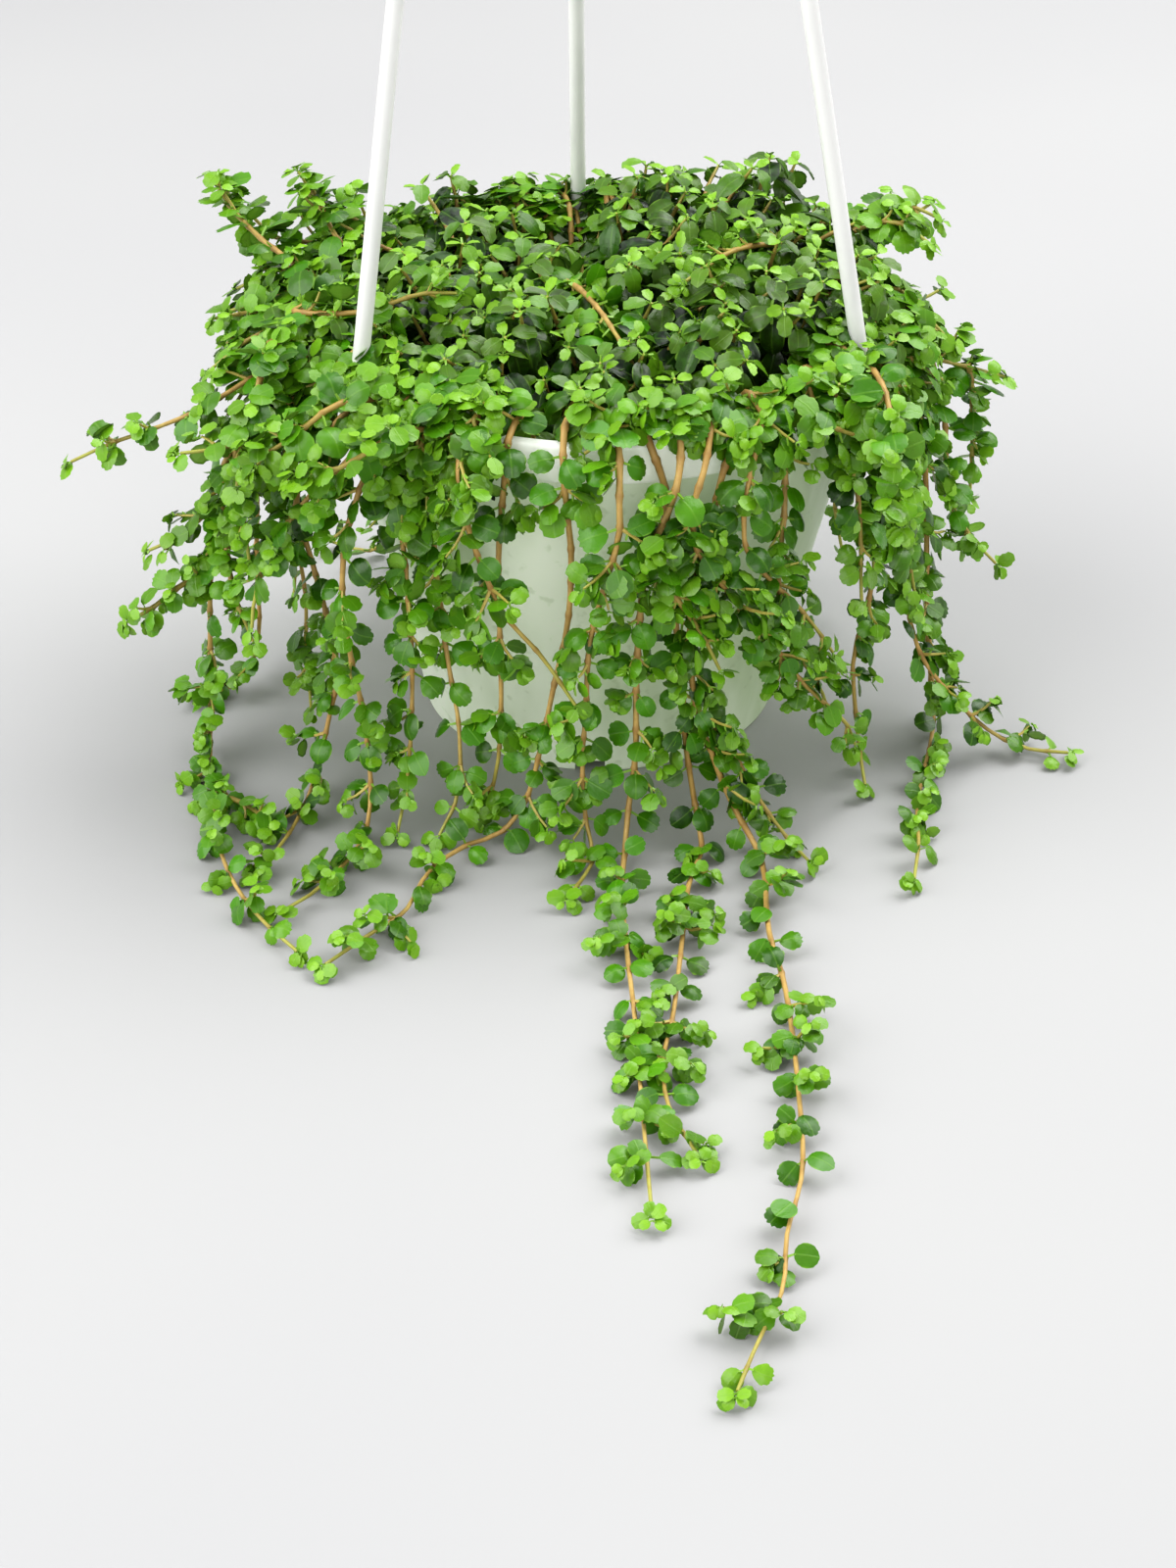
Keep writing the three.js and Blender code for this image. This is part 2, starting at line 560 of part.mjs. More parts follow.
function shootCurves({ route, shoots = [] }) {
  return shoots.map((shoot) => {
    const points = [route[shoot.from], ...shoot.route].map(vector);
    return new THREE.CatmullRomCurve3(points, false, "centripetal");
  });
}

// How far along a stem its pairs of leaves stand, with a small pair at the tip
function pairReaches(length, from) {
  const last = length - 2 * STALK_WIDTH;
  const count = Math.max(1, Math.round((last - from) / PAIR_STEP));
  return Array.from({ length: count + 1 }, (_, i) => ({
    reach: from + (i * (last - from)) / count,
    scale: i === count ? TIP_LEAF : 1,
  }));
}

function overlaps(a, b) {
  const p = a.boundingBox();
  const q = b.boundingBox();
  const apart = [0, 1, 2].some((k) => p.min[k] > q.max[k] || q.min[k] > p.max[k]);
  return !apart && a.intersect(b).volume() > 0;
}

// A leaf is turned about its stem and leaned along it until it clears every other piece, the leaves and stem
// that it grows among, and the ground. Where nothing clears, it is left out.
function fitLeaf(wish, axis, others, kin) {
  for (const lean of LEANS_TRIED)
    for (const turn of TURNS_TRIED) {
      const turned = wish.along.clone().applyAxisAngle(axis, rad(turn));
      const along = turned.addScaledVector(wish.forward, lean).normalize();
      const leaf = { ...wish, along, face: faceFor(along, wish.light, wish.upperFor(along)) };
      const guard = bladeSolid(wish.root, leaf, CLEARANCE);
      if (guard.boundingBox().min[2] < FLOOR_CLEARANCE) continue;
      if (others.some((other) => overlaps(guard, other))) continue;
      const blade = bladeSolid(wish.root, leaf, CLEARANCE, BLADE_START);
      if (!kin.some((other) => overlaps(blade, other))) return leaf;
    }
  return null;
}

// Two leaves face each other at a joint, with their width along the stem, and every second pair is lifted.
function leafyJoints(index, curve, from, others, bare) {
  const length = curve.getLength();
  const pairs = pairReaches(length, from);
  const places = sections(curve, pairs.map(({ reach }) => reach));
  const kin = [bare];
  return pairs.map(({ reach, scale }, pair) => {
    const { point, tangent, top, side } = places[pair];
    const lift = pair % 2 ? PAIR_LIFT.odd : PAIR_LIFT.even;
    const rise = rad(lift + spread(index, pair, 1, PAIR_LIFT.spread));
    const leaves = [1, -1].map((hand) => {
      const along = side
        .clone()
        .multiplyScalar(hand * Math.cos(rise))
        .addScaledVector(top, Math.sin(rise))
        .addScaledVector(tangent, PAIR_LEAN.forward + spread(index, pair, 3 + hand, PAIR_LEAN.spread))
        .normalize();
      const upperFor = (heading) => tangent.clone().multiplyScalar(hand).cross(heading).normalize();
      const wish = { root: point, along, forward: tangent, upperFor, light: lightAt(point), scale };
      wish.mirrored = (pair + (hand > 0 ? 1 : 0)) % 2 === 1;
      const leaf = fitLeaf(wish, tangent, others, kin);
      if (leaf) kin.push(bladeSolid(point, leaf, 0, BLADE_START));
      return leaf;
    });
    return { reach, leaves };
  });
}

// A tuft's core is a small hummock on a short stem, hidden by the leaves that stand out of it.
function tuftShape({ x, y, top }) {
  const under = SOIL_TOP + TUFT.under;
  const half = (top - under) / 2;
  const radii = new THREE.Vector3(TUFT.radius, TUFT.radius, half);
  return { centre: new THREE.Vector3(x, y, under + half), radii };
}

function tuftCore(tuft) {
  const { centre, radii } = tuftShape(tuft);
  const core = new THREE.OctahedronGeometry(1, 1).scale(...radii).translate(...centre);
  const length = centre.z - SOIL_TOP + ROOT_DEPTH;
  const stalk = cylinder(TUFT.stalk, length, TUFT_HOLE.sides, 0, 0, centre.z - length / 2);
  stalk.rotateZ(holeTurn(tuft)).translate(tuft.x, tuft.y, 0);
  return join([core, stalk].map(solidOf));
}

function leavesOnTuft(index, tuft, others) {
  const { centre, radii } = tuftShape(tuft);
  const { count, scale, sunk, coverage } = TUFT_LEAVES;
  const grown = [];
  for (let i = 0; i < count; i++) {
    const cos = 1 - (coverage * (i + 0.5)) / count;
    const sin = Math.sqrt(1 - cos * cos);
    const turn = i * GOLDEN_ANGLE + index;
    const out = new THREE.Vector3(sin * Math.cos(turn), sin * Math.sin(turn), cos);
    const root = centre.clone().addScaledVector(out.clone().multiply(radii), sunk);
    const heading = turn + spread(100 + index, i, 1, TUFT_LEAF_HEADING.spread);
    const along = new THREE.Vector3(Math.cos(heading), Math.sin(heading), TUFT_LEAF_HEADING.rise)
      .addScaledVector(out, TUFT_LEAF_HEADING.outward)
      .normalize();
    const wish = { root, along, forward: out, upperFor: () => out, light: UP, scale, mirrored: i % 2 === 1 };
    const leaf = fitLeaf(wish, out, [...others, ...grown], []);
    if (leaf) grown.push(bladeSolid(root, leaf));
  }
  return grown;
}

const plant = new THREE.Group();
const rods = ROD_ANGLES.map(rodSolid);
const pot = potSolid();
const crown = crownSolid();

// Bare stems and tuft cores come first, so that every leaf can be fitted among all of them.
const growing = STEMS.map((stem) => {
  const curves = [stemCurve(stem), ...shootCurves(stem)];
  const bare = curves.map((curve, k) => {
    const pairs = pairReaches(curve.getLength(), k ? SHOOT_FIRST_PAIR : FIRST_PAIR);
    return leafySolid(curve, pairs.map(({ reach }) => ({ reach, leaves: [] })));
  });
  return { name: "stem_" + stem.name, curves, solid: join(bare) };
});
const tufts = TUFTS.map((tuft) => ({ name: "tuft_" + tuft.name, tuft, solid: tuftCore(tuft) }));
const everything = [...growing, ...tufts];
const fixed = [pot, ...rods];
const othersThan = (piece) => [
  ...fixed,
  ...everything.filter((other) => other !== piece).map((other) => other.solid),
];

growing.forEach((piece, index) => {
  const bare = piece.solid;
  const leafy = piece.curves.map((curve, k) => {
    const from = k ? SHOOT_FIRST_PAIR : FIRST_PAIR;
    return leafySolid(curve, leafyJoints(index + 50 * k, curve, from, othersThan(piece), bare));
  });
  piece.solid = largest(join(leafy));
});
tufts.forEach((piece, index) => {
  piece.solid = largest(join([piece.solid, ...leavesOnTuft(index, piece.tuft, othersThan(piece))]));
});

const roots = [
  ...STEMS.map(({ root: [angle, radius] }) => ({ ...polar(radius, angle), hole: STEM_HOLE })),
  ...TUFTS.map(({ x, y }) => ({ x, y, hole: TUFT_HOLE })),
];

plant.add(meshOf("pot", pot, materials.pot));
plant.add(meshOf("soil", soilSolid(roots), materials.soil));
rods.forEach((rod, i) => plant.add(meshOf("hanger_rod_" + ROD_NAMES[i], rod, materials.hanger)));
plant.add(meshOf("hanger_crown", crown, materials.hanger));
for (const { name, solid } of everything) plant.add(meshOf(name, solid, materials.foliage));

export default plant;
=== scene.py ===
# A potted pilea depressa: glossy round leaves on trailing stems, in a pale plastic pot with a three-rod
# hanger. The plant and pot are worked out in millimetres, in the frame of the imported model, and made into
# metres when their meshes are made. -Y is the front.
import itertools
import math

import bmesh
import bpy
import numpy as np
from mathutils import Matrix, Vector


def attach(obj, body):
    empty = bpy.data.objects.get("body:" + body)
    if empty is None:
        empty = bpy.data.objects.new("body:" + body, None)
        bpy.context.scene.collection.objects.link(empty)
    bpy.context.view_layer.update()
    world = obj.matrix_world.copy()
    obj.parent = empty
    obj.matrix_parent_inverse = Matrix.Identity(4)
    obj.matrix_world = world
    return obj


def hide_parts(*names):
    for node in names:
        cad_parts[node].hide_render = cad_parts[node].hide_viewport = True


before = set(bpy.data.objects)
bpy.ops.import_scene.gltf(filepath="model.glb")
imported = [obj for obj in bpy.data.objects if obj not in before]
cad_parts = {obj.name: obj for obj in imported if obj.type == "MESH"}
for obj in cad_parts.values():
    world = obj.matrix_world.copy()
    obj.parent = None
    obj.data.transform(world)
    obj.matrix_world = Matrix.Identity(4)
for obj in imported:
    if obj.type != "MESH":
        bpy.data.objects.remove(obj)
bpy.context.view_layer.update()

METRES = 0.001
UP = np.array([0.0, 0.0, 1.0])
SEEDS = {"soil": 31, "mound": 77, "stems": 500, "runners": 700, "skirts": 900}

# Camera: the photograph's own place and lens
CAMERA = {"place": (-0.0034, -0.824, 0.4843), "pitch": 57.59, "lens": 70.0, "sensor": 36.0, "reach": 20.0}
# Lights in metres and watts: name, place, aim, size and power
LIGHTS = [
    ("key", (1.4, 0.7, 1.85), (0.25, 0.15, 0.05), 2.6, 54),
    ("fill", (-1.6, -0.6, 1.3), (-0.3, 0, 0), 2.6, 46),
    ("front", (0.3, -1.9, 0.7), (0, 0, 0.16), 1.2, 8),
    ("top", (0.2, 0.8, 2.2), (0.2, 0.5, 0), 1.8, 16),
]
SURROUND_LIGHT = 0.55
FLOOR = {"side": 9000, "thick": 10}

# Pot and hanger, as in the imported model
RIM_RADIUS = 80
POT_HEIGHT = 120
BAND_HEIGHT = 12
BASE_RADIUS = 54
WALL = 1.8
SLOT = {"count": 4, "width": 9, "height": 4, "depth": 14, "first_angle": -93}
SOIL_TOP = 104
ROOT_DEPTH = 6
STEM_OVER_RIM = 74
ROD_ANGLES = {"rear": 94.5, "left": 214.5, "right": 334.5}
ROD = {"foot": 82, "radius": 2.4, "bow": 3, "bow_at": 0.45, "rings": 40, "sides": 28}
PIN = {"radius": 1.4, "length": 8}
COLLAR = {"radius": 3.1, "height": 2}
EAR = {"radius": 4, "top": 121, "height": 11}
GAP = 0.3
CROWN = {
    "x": -7, "y": -4, "z": 470, "radius": 16, "brim": 7, "neck": 7, "height": 17, "ring": 11, "socket": 6,
}
HOOK = {"wire": 2.6, "shank": 22, "bend": 17, "mouth": -40, "points": 9, "sides": 24}


def unit(vectors):
    """Vectors of length 1, for one vector or for rows of them"""
    vectors = np.asarray(vectors, float)
    return vectors / np.maximum(np.linalg.norm(vectors, axis=-1, keepdims=True), 1e-9)


def polar(radius, degrees, z=0.0):
    """A point at a distance and an angle from the pot's axis"""
    turn = math.radians(degrees)
    return np.array([radius * math.cos(turn), radius * math.sin(turn), z])


def smooth(low, high, value):
    """0 below low, 1 above high and smooth between, for one number or a row of them"""
    share = np.clip((value - low) / (high - low), 0, 1)
    return share * share * (3 - 2 * share)


class Route:
    """The smooth curve through a list of points, walked by its length"""

    STEPS = 14
    LEAST_GAP = 1e-4

    def __init__(self, points):
        points = np.asarray(points, float)
        ends = np.vstack([2 * points[0] - points[1], points, 2 * points[-1] - points[-2]])
        share = np.linspace(0, 1, self.STEPS, endpoint=False)[:, None]
        samples = []
        for before, start, end, after in zip(ends, ends[1:], ends[2:], ends[3:]):
            spans = ((before, start), (start, end), (end, after))
            gaps = (max(math.sqrt(np.linalg.norm(b - a)), self.LEAST_GAP) for a, b in spans)
            first, middle, last = gaps
            leave = (start - before) / first - (end - before) / (first + middle) + (end - start) / middle
            arrive = (end - start) / middle - (after - start) / (middle + last) + (after - end) / last
            leave, arrive = leave * middle, arrive * middle
            square = -3 * start + 3 * end - 2 * leave - arrive
            cube = 2 * start - 2 * end + leave + arrive
            samples.append(start + share * leave + share**2 * square + share**3 * cube)
        self.samples = np.vstack([*samples, points[-1:]])
        steps = np.linalg.norm(np.diff(self.samples, axis=0), axis=1)
        self.walked = np.concatenate([[0], np.cumsum(steps)])
        self.length = self.walked[-1]
        tangents = unit(np.gradient(self.samples, axis=0))
        x, y, _ = self.samples[0]
        top = unit([-x, -y, 0.0]) if np.hypot(x, y) > 1 else np.array([0.0, 1.0, 0.0])
        tops = []
        for tangent in tangents:
            top = unit(top - top.dot(tangent) * tangent)
            tops.append(top)
        self.tangents, self.tops = tangents, np.array(tops)

    def _between(self, rows, reaches):
        return np.stack([np.interp(reaches, self.walked, rows[:, axis]) for axis in range(3)], axis=-1)

    def at(self, reaches):
        return self._between(self.samples, reaches)

    def frames(self, reaches):
        """Points, directions, upper sides and sideways directions at the reaches"""
        tangent = unit(self._between(self.tangents, reaches))
        top = self._between(self.tops, reaches)
        top = unit(top - np.sum(top * tangent, axis=-1, keepdims=True) * tangent)
        return self.at(reaches), tangent, top, np.cross(top, tangent)

    def place(self, reach):
        """The point, direction, upper side and sideways direction at one reach"""
        return tuple(rows[0] for rows in self.frames(np.array([reach])))


# Leaf blades as templates of unit length: the place of the tip, and half the outline, with a waved outer
# part. The last is for small leaves.
OUTLINES = [
    (0.96, [(0.04, 0.34), (0.16, 0.7), (0.34, 0.94), (0.52, 1.0), (0.63, 0.89), (0.74, 0.9), (0.85, 0.71),
            (0.85, 0.53), (0.95, 0.44), (0.99, 0.18)]),
    (0.93, [(0.05, 0.28), (0.18, 0.6), (0.36, 0.84), (0.5, 1.0), (0.61, 0.99), (0.68, 0.83), (0.82, 0.81),
            (0.91, 0.57), (0.9, 0.37), (1.0, 0.24)]),
    (1.01, [(0.03, 0.38), (0.14, 0.72), (0.32, 0.95), (0.5, 0.99), (0.64, 0.93), (0.77, 0.83), (0.85, 0.63),
            (0.93, 0.48), (0.96, 0.28), (1.0, 0.13)]),
    (0.97, [(0.08, 0.5), (0.3, 0.9), (0.55, 1.0), (0.67, 0.79), (0.85, 0.75), (0.93, 0.36)]),
]
SMALL = len(OUTLINES) - 1
# Where a blade is fullest, how far out its flank is, how far its upper side and underside swell, and its
# inner ring of points
BLADE_MIDDLE = 0.52
BLADE_FLANK = 0.4
PUFF = 0.05
UNDERSIDE = 0.035
RING = {"share": 0.6, "points": 8}
# The least angle at which an edge of the foliage stays sharp
CREASE = math.radians(70)


def blade_template(tip, half, ringed):
    """Rows of x, y, fixed z, z of the dome, share across and whether under, with their triangles"""
    left = [(x, y / 2) for x, y in half]
    right = [(x, -y) for x, y in reversed(left)]
    outline = [(0.0, 0.0), *left, (tip, 0.0), *right]
    count = len(outline)
    rows = [(x, y, 0.0, -1.0, 2 * abs(y), 0.0) for x, y in outline]
    faces, outer = [], list(range(count))
    if ringed:
        share, points = RING["share"], RING["points"]
        inner = list(range(count, count + points))
        for k in range(points):
            x, y = outline[round(k * count / points) % count]
            x, y = BLADE_MIDDLE + share * (x - BLADE_MIDDLE), share * y
            rows.append((x, y, PUFF * (1 - share**2), -(share**2), 2 * abs(y), 0.0))
        faces += strip(outer, inner)
        outer = inner
    rows.append((BLADE_MIDDLE, 0.0, PUFF, 0.0, 0.0, 0.0))
    faces += [(outer[k], outer[(k + 1) % len(outer)], len(rows) - 1) for k in range(len(outer))]
    rows.append((BLADE_MIDDLE, 0.0, -UNDERSIDE, 0.0, 0.0, 1.0))
    faces += [((k + 1) % count, k, len(rows) - 1) for k in range(count)]
    return np.array(rows), np.array(faces)


def strip(outer, inner):
    """Triangles between two closed rings with different numbers of points"""
    faces, i, k = [], 0, 0
    while i < len(outer) or k < len(inner):
        a, b = outer[i % len(outer)], inner[k % len(inner)]
        if k >= len(inner) or (i < len(outer) and (i + 1) / len(outer) <= (k + 1) / len(inner)):
            faces.append((a, outer[(i + 1) % len(outer)], b))
            i += 1
        else:
            faces.append((a, inner[(k + 1) % len(inner)], b))
            k += 1
    return faces


BLADES = [blade_template(tip, half, number != SMALL) for number, (tip, half) in enumerate(OUTLINES)]
# A leaf's stalk: its sides, its thickness by the leaf's size and at least, its far end's share of that, and
# how far it reaches into the blade
STALK = {"sides": 3, "thick": 0.05, "least": 0.12, "taper": 0.75, "overlap": 0.06}
# The lowest that a blade, any other point and the bend or tip of a side shoot may be above the floor
BLADE_LOWEST = 0.35
LOWEST = 0.06
SHOOT_LOWEST = 2.5
LEAF_SLOT = 0
STEM_SLOT = 1

# The outside of the pot below its rim band: radius and height
WALL_PROFILE = [
    (BASE_RADIUS, 0), (BASE_RADIUS + 2, 12), (BASE_RADIUS + 4.8, 28), (BASE_RADIUS + 10, 48),
    (BASE_RADIUS + 16, 72), (RIM_RADIUS - 2.4, POT_HEIGHT - BAND_HEIGHT),
]
WALL_RADII, WALL_HEIGHTS = np.array([*WALL_PROFILE, (RIM_RADIUS, POT_HEIGHT)]).T


def through_wall(start, end):
    """Whether a straight line passes from one side of the pot's wall to the other below the rim"""
    sides = []
    for x, y, z in (start, end):
        if z > POT_HEIGHT:
            return False
        sides.append(math.hypot(x, y) > np.interp(z, WALL_HEIGHTS, WALL_RADII) - WALL / 2)
    return sides[0] != sides[1]


def band(first, sides):
    """Triangles between a ring of points, numbered from first, and the ring that comes after it"""
    faces = []
    for k in range(sides):
        a, b = first + k, first + (k + 1) % sides
        faces += [(a, b, b + sides), (a, b + sides, a + sides)]
    return faces


def gathered(meshes):
    """Several meshes as one: points, triangles, colours of the points and slots of the triangles"""
    rows, faces, colours, slots, shift = [], [], [], [], 0
    for points, triangles, colour, slot in meshes:
        rows.append(points)
        faces.append(triangles + shift)
        colours.append(colour)
        slots.append(np.full(len(triangles), slot))
        shift += len(points)
    return [np.concatenate(parts) for parts in (rows, faces, colours, slots)]


class Foliage:
    """Gathers the stems and leaves of one piece in millimetres, and makes its mesh"""

    def __init__(self):
        self.meshes = []
        self.leaves = [[] for _ in BLADES]

    def leaf(self, root, joint, axis, face, size, width, dome, fold, curl, tint, youth, blade):
        """One leaf: a stalk from root to joint, and a blade from there along axis, turned to face. A leaf
        that would cut through the wall of the pot is left out."""
        tip = joint + axis * size
        flank = tip + np.cross(face, axis) * size * BLADE_FLANK
        if through_wall(root, tip) or through_wall(root, flank):
            return
        numbers = [size, width, dome, fold, curl, tint, youth]
        self.leaves[blade].append(np.concatenate([root, joint, axis, face, numbers]))

    def tube(self, points, radii, sides, paint, slot):
        """A closed tube through points, with paint as rows of colours for its rings"""
        points, radii = np.asarray(points, float), np.asarray(radii, float)
        tangents = unit(np.gradient(points, axis=0))
        across = unit(np.cross(tangents[0], [0.3, 0.2, 0.9]))
        turns = np.linspace(0, 2 * math.pi, sides, endpoint=False)[:, None]
        rings = []
        for point, tangent, radius in zip(points, tangents, radii):
            across = unit(across - across.dot(tangent) * tangent)
            other = np.cross(tangent, across)
            rings.append(point + radius * (np.cos(turns) * across + np.sin(turns) * other))
        rows = np.vstack([*rings, points[:1], points[-1:]])
        last = (len(points) - 1) * sides
        start, end = last + sides, last + sides + 1
        faces = []
        for first in range(0, last, sides):
            faces += band(first, sides)
        for k in range(sides):
            after = (k + 1) % sides
            faces += [(after, k, start), (last + k, last + after, end)]
        paint = np.asarray(paint, float)
        colours = np.vstack([np.repeat(paint, sides, axis=0), paint[:1], paint[-1:]])
        self.meshes.append((rows, np.array(faces), colours, slot))

    def _stamp(self, leaves, template):
        """Every blade of one template, with its stalk"""
        rows, faces = template
        data = np.array(leaves)
        root, joint, axis, face = (data[:, k : k + 3].copy() for k in (0, 3, 6, 9))
        size, width, dome, fold, curl, tint, youth = (data[:, k] for k in range(12, 19))
        side = np.cross(face, axis)
        x, y, fixed, domed, across, under = rows.T
        height = fixed + dome[:, None] * domed + fold[:, None] * np.abs(y) + curl[:, None] * x**2
        along = x[:, None] * axis[:, None]
        aside = (width[:, None] * y)[..., None] * side[:, None]
        points = joint[:, None] + size[:, None, None] * (along + aside + height[..., None] * face[:, None])
        lift = np.maximum(BLADE_LOWEST - points[..., 2].min(axis=1), 0)
        points[..., 2] += lift[:, None]
        joint[:, 2] += lift
        colour = np.stack(np.broadcast_arrays(tint[:, None], youth[:, None], across, under), axis=-1)
        self._add_copies(points, faces, colour)

        sides = STALK["sides"]
        turns = np.linspace(0, 2 * math.pi, sides, endpoint=False)
        thick = STALK["thick"] * size + STALK["least"]
        ring = np.cos(turns)[:, None] * side[:, None] + np.sin(turns)[:, None] * face[:, None]
        near = root[:, None] + thick[:, None, None] * ring
        end = joint + STALK["overlap"] * size[:, None] * axis
        far = end[:, None] + STALK["taper"] * thick[:, None, None] * ring
        stalk = np.array([(0, 2, 1), (sides, sides + 1, sides + 2), *band(0, sides)])
        pale, shade = np.full_like(tint, 0.3), np.full_like(tint, 0.35)
        colour = np.stack([tint, 0.5 + 0.5 * youth, pale, shade], axis=-1)
        colours = np.repeat(colour[:, None], 2 * sides, axis=1)
        self._add_copies(np.concatenate([near, far], axis=1), stalk, colours)

    def _add_copies(self, points, faces, colours):
        copies, count = points.shape[:2]
        faces = faces + (np.arange(copies) * count)[:, None, None]
        self.meshes.append((points.reshape(-1, 3), faces.reshape(-1, 3), colours.reshape(-1, 4), LEAF_SLOT))

    def piece(self, name, replaced=()):
        for leaves, template in zip(self.leaves, BLADES):
            if leaves:
                self._stamp(leaves, template)
        rows, faces, colours, slots = gathered(self.meshes)
        rows[:, 2] = np.maximum(rows[:, 2], LOWEST)
        mesh = mesh_from(name, rows, faces)
        paint = mesh.attributes.new("growth", "FLOAT_COLOR", "POINT")
        paint.data.foreach_set("color", colours.astype(np.float32).ravel())
        for material in FOLIAGE:
            mesh.materials.append(material)
        mesh.polygons.foreach_set("material_index", slots.astype(np.int32))
        mesh.set_sharp_from_angle(angle=CREASE)
        return placed(name, mesh, replaced)


def mesh_from(name, rows, faces):
    """A smooth mesh in metres from points in millimetres and triangles or other faces of one length"""
    faces = np.asarray(faces)
    mesh = bpy.data.meshes.new(name)
    mesh.vertices.add(len(rows))
    mesh.vertices.foreach_set("co", (np.asarray(rows, float) * METRES).astype(np.float32).ravel())
    mesh.loops.add(faces.size)
    mesh.loops.foreach_set("vertex_index", faces.astype(np.int32).ravel())
    mesh.polygons.add(len(faces))
    mesh.polygons.foreach_set("loop_start", np.arange(0, faces.size, faces.shape[1], dtype=np.int32))
    mesh.update(calc_edges=True)
    mesh.validate()
    mesh.shade_smooth()
    return mesh


def added(name, data):
    """A new object in the scene that shows a mesh, a light or a camera"""
    thing = bpy.data.objects.new(name, data)
    bpy.context.scene.collection.objects.link(thing)
    return thing


def placed(name, mesh, replaced=()):
    """A piece of the object and the nodes that it stands for"""
    piece = added(name, mesh)
    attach(piece, "root")
    if replaced:
        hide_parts(*replaced)
    return piece


# Finishes
class Value:
    """A shader socket that can be used in arithmetic"""

    def __init__(self, finish, socket):
        self.finish, self.socket = finish, socket

    def _maths(self, operation, *operands):
        return self.finish.node("ShaderNodeMath", {"operation": operation}, dict(enumerate(operands)))

    def __add__(self, other):
        return self._maths("ADD", self, other)

    def __rsub__(self, other):
        return self._maths("SUBTRACT", other, self)

    def __mul__(self, other):
        return self._maths("MULTIPLY", self, other)

    __radd__ = __add__
    __rmul__ = __mul__

    def slope(self, low, high):
        """0 below low, 1 above high and smooth between"""
        inputs = {"Value": self, "From Min": low, "From Max": high}
        return self.finish.node("ShaderNodeMapRange", {"interpolation_type": "SMOOTHSTEP"}, inputs)


class Finish:
    """One material: its surface shader, and a method that makes any node in its tree"""

    def __init__(self, name, **constants):
        self.material = bpy.data.materials.new(name)
        self.material.use_nodes = True
        self.tree = self.material.node_tree
        self.surface = self.tree.nodes["Principled BSDF"]
        for socket, value in constants.items():
            self.surface.inputs[socket.replace("_", " ")].default_value = value

    def node(self, kind, settings=None, inputs=None, output=0):
        made = self.tree.nodes.new(kind)
        for key, value in (settings or {}).items():
            setattr(made, key, value)
        for key, value in (inputs or {}).items():
            if isinstance(value, Value):
                self.tree.links.new(value.socket, made.inputs[key])
            else:
                made.inputs[key].default_value = value
        return Value(self, made.outputs[output])

    def set(self, **values):
        for socket, value in values.items():
            self.tree.links.new(value.socket, self.surface.inputs[socket.replace("_", " ")])

    def mix(self, first, second, factor):
        inputs = {"Factor": factor, 6: colour(first), 7: colour(second)}
        return self.node("ShaderNodeMix", {"data_type": "RGBA", "clamp_factor": True}, inputs, 2)

    def place(self):
        return self.node("ShaderNodeTexCoord", output="Object")

    def growth(self):
        """The values painted on foliage: tint, youth, the share across a blade or how near a stem's joint,
        and how far it is a blade's underside"""
        growth = self.node("ShaderNodeAttribute", {"attribute_name": "growth"}, output="Color")
        parts = self.node("ShaderNodeSeparateColor", inputs={0: growth})
        sockets = [*parts.socket.node.outputs, growth.socket.node.outputs["Alpha"]]
        return [Value(self, socket) for socket in sockets]

    def noise(self, scale, detail=3.0, stretch=(1, 1, 1)):
        where = self.node("ShaderNodeMapping", inputs={"Vector": self.place(), "Scale": stretch})
        return self.node("ShaderNodeTexNoise", inputs={"Vector": where, "Scale": scale, "Detail": detail})

    def bump(self, height, strength, distance):
        inputs = {"Height": height, "Strength": strength, "Distance": distance}
        self.set(Normal=self.node("ShaderNodeBump", inputs=inputs))


def colour(value):
    """A node value as it is, or an sRGB colour of 0 to 255 as the linear one that shaders take"""
    if isinstance(value, Value):
        return value
    shares = [c / 255 for c in value]
    return (*[s / 12.92 if s <= 0.04045 else ((s + 0.055) / 1.055) ** 2.4 for s in shares], 1.0)


def leaf_finish():
    """Fleshy blades: green by the leaf, yellower where young, paler below, with a faint mid vein and a
    painted highlight along the rims
    """
    finish = Finish("leaf_green", Roughness=0.42, Specular_IOR_Level=0.45)
    tint, youth, across, under = finish.growth()
    green = finish.mix((2, 26, 1), (72, 133, 6), tint)
    green = finish.mix(green, (128, 176, 40), youth)
    mottle = finish.noise(420).slope(0.38, 0.66)
    green = finish.mix(green, (72, 130, 18), mottle * 0.2)
    vein = 1 - across.slope(0.02, 0.1)
    green = finish.mix(green, (130, 176, 62), vein * 0.18)
    # Painted highlight: the rims of the blades are lightened, as where light catches their edges
    rim_highlight = across.slope(0.8, 1.0)
    green = finish.mix(green, (136, 180, 56), rim_highlight * 0.45)
    green = finish.mix(green, (130, 172, 66), under.slope(0.04, 0.3) * 0.75)
    finish.set(Base_Color=green, Roughness=0.2 + 0.2 * finish.noise(260))
    finish.bump(finish.noise(700, 2.0) + vein * -0.4, 0.25, 0.0004)
    return finish.material


def stem_finish():
    """Stems: tan, green where young, red-brown at the joints"""
    finish = Finish("stem_tan", Roughness=0.5)
    tint, youth, joint, _ = finish.growth()
    tan = finish.mix((172, 138, 70), (202, 172, 104), tint)
    tan = finish.mix(tan, (150, 166, 66), youth * 0.75)
    tan = finish.mix(tan, (128, 92, 46), joint * 0.55)
    streak = finish.noise(500, 3.0)
    finish.set(Base_Color=finish.mix(tan, (150, 98, 50), streak.slope(0.45, 0.7) * 0.25))
    finish.bump(streak, 0.3, 0.0003)
    return finish.material


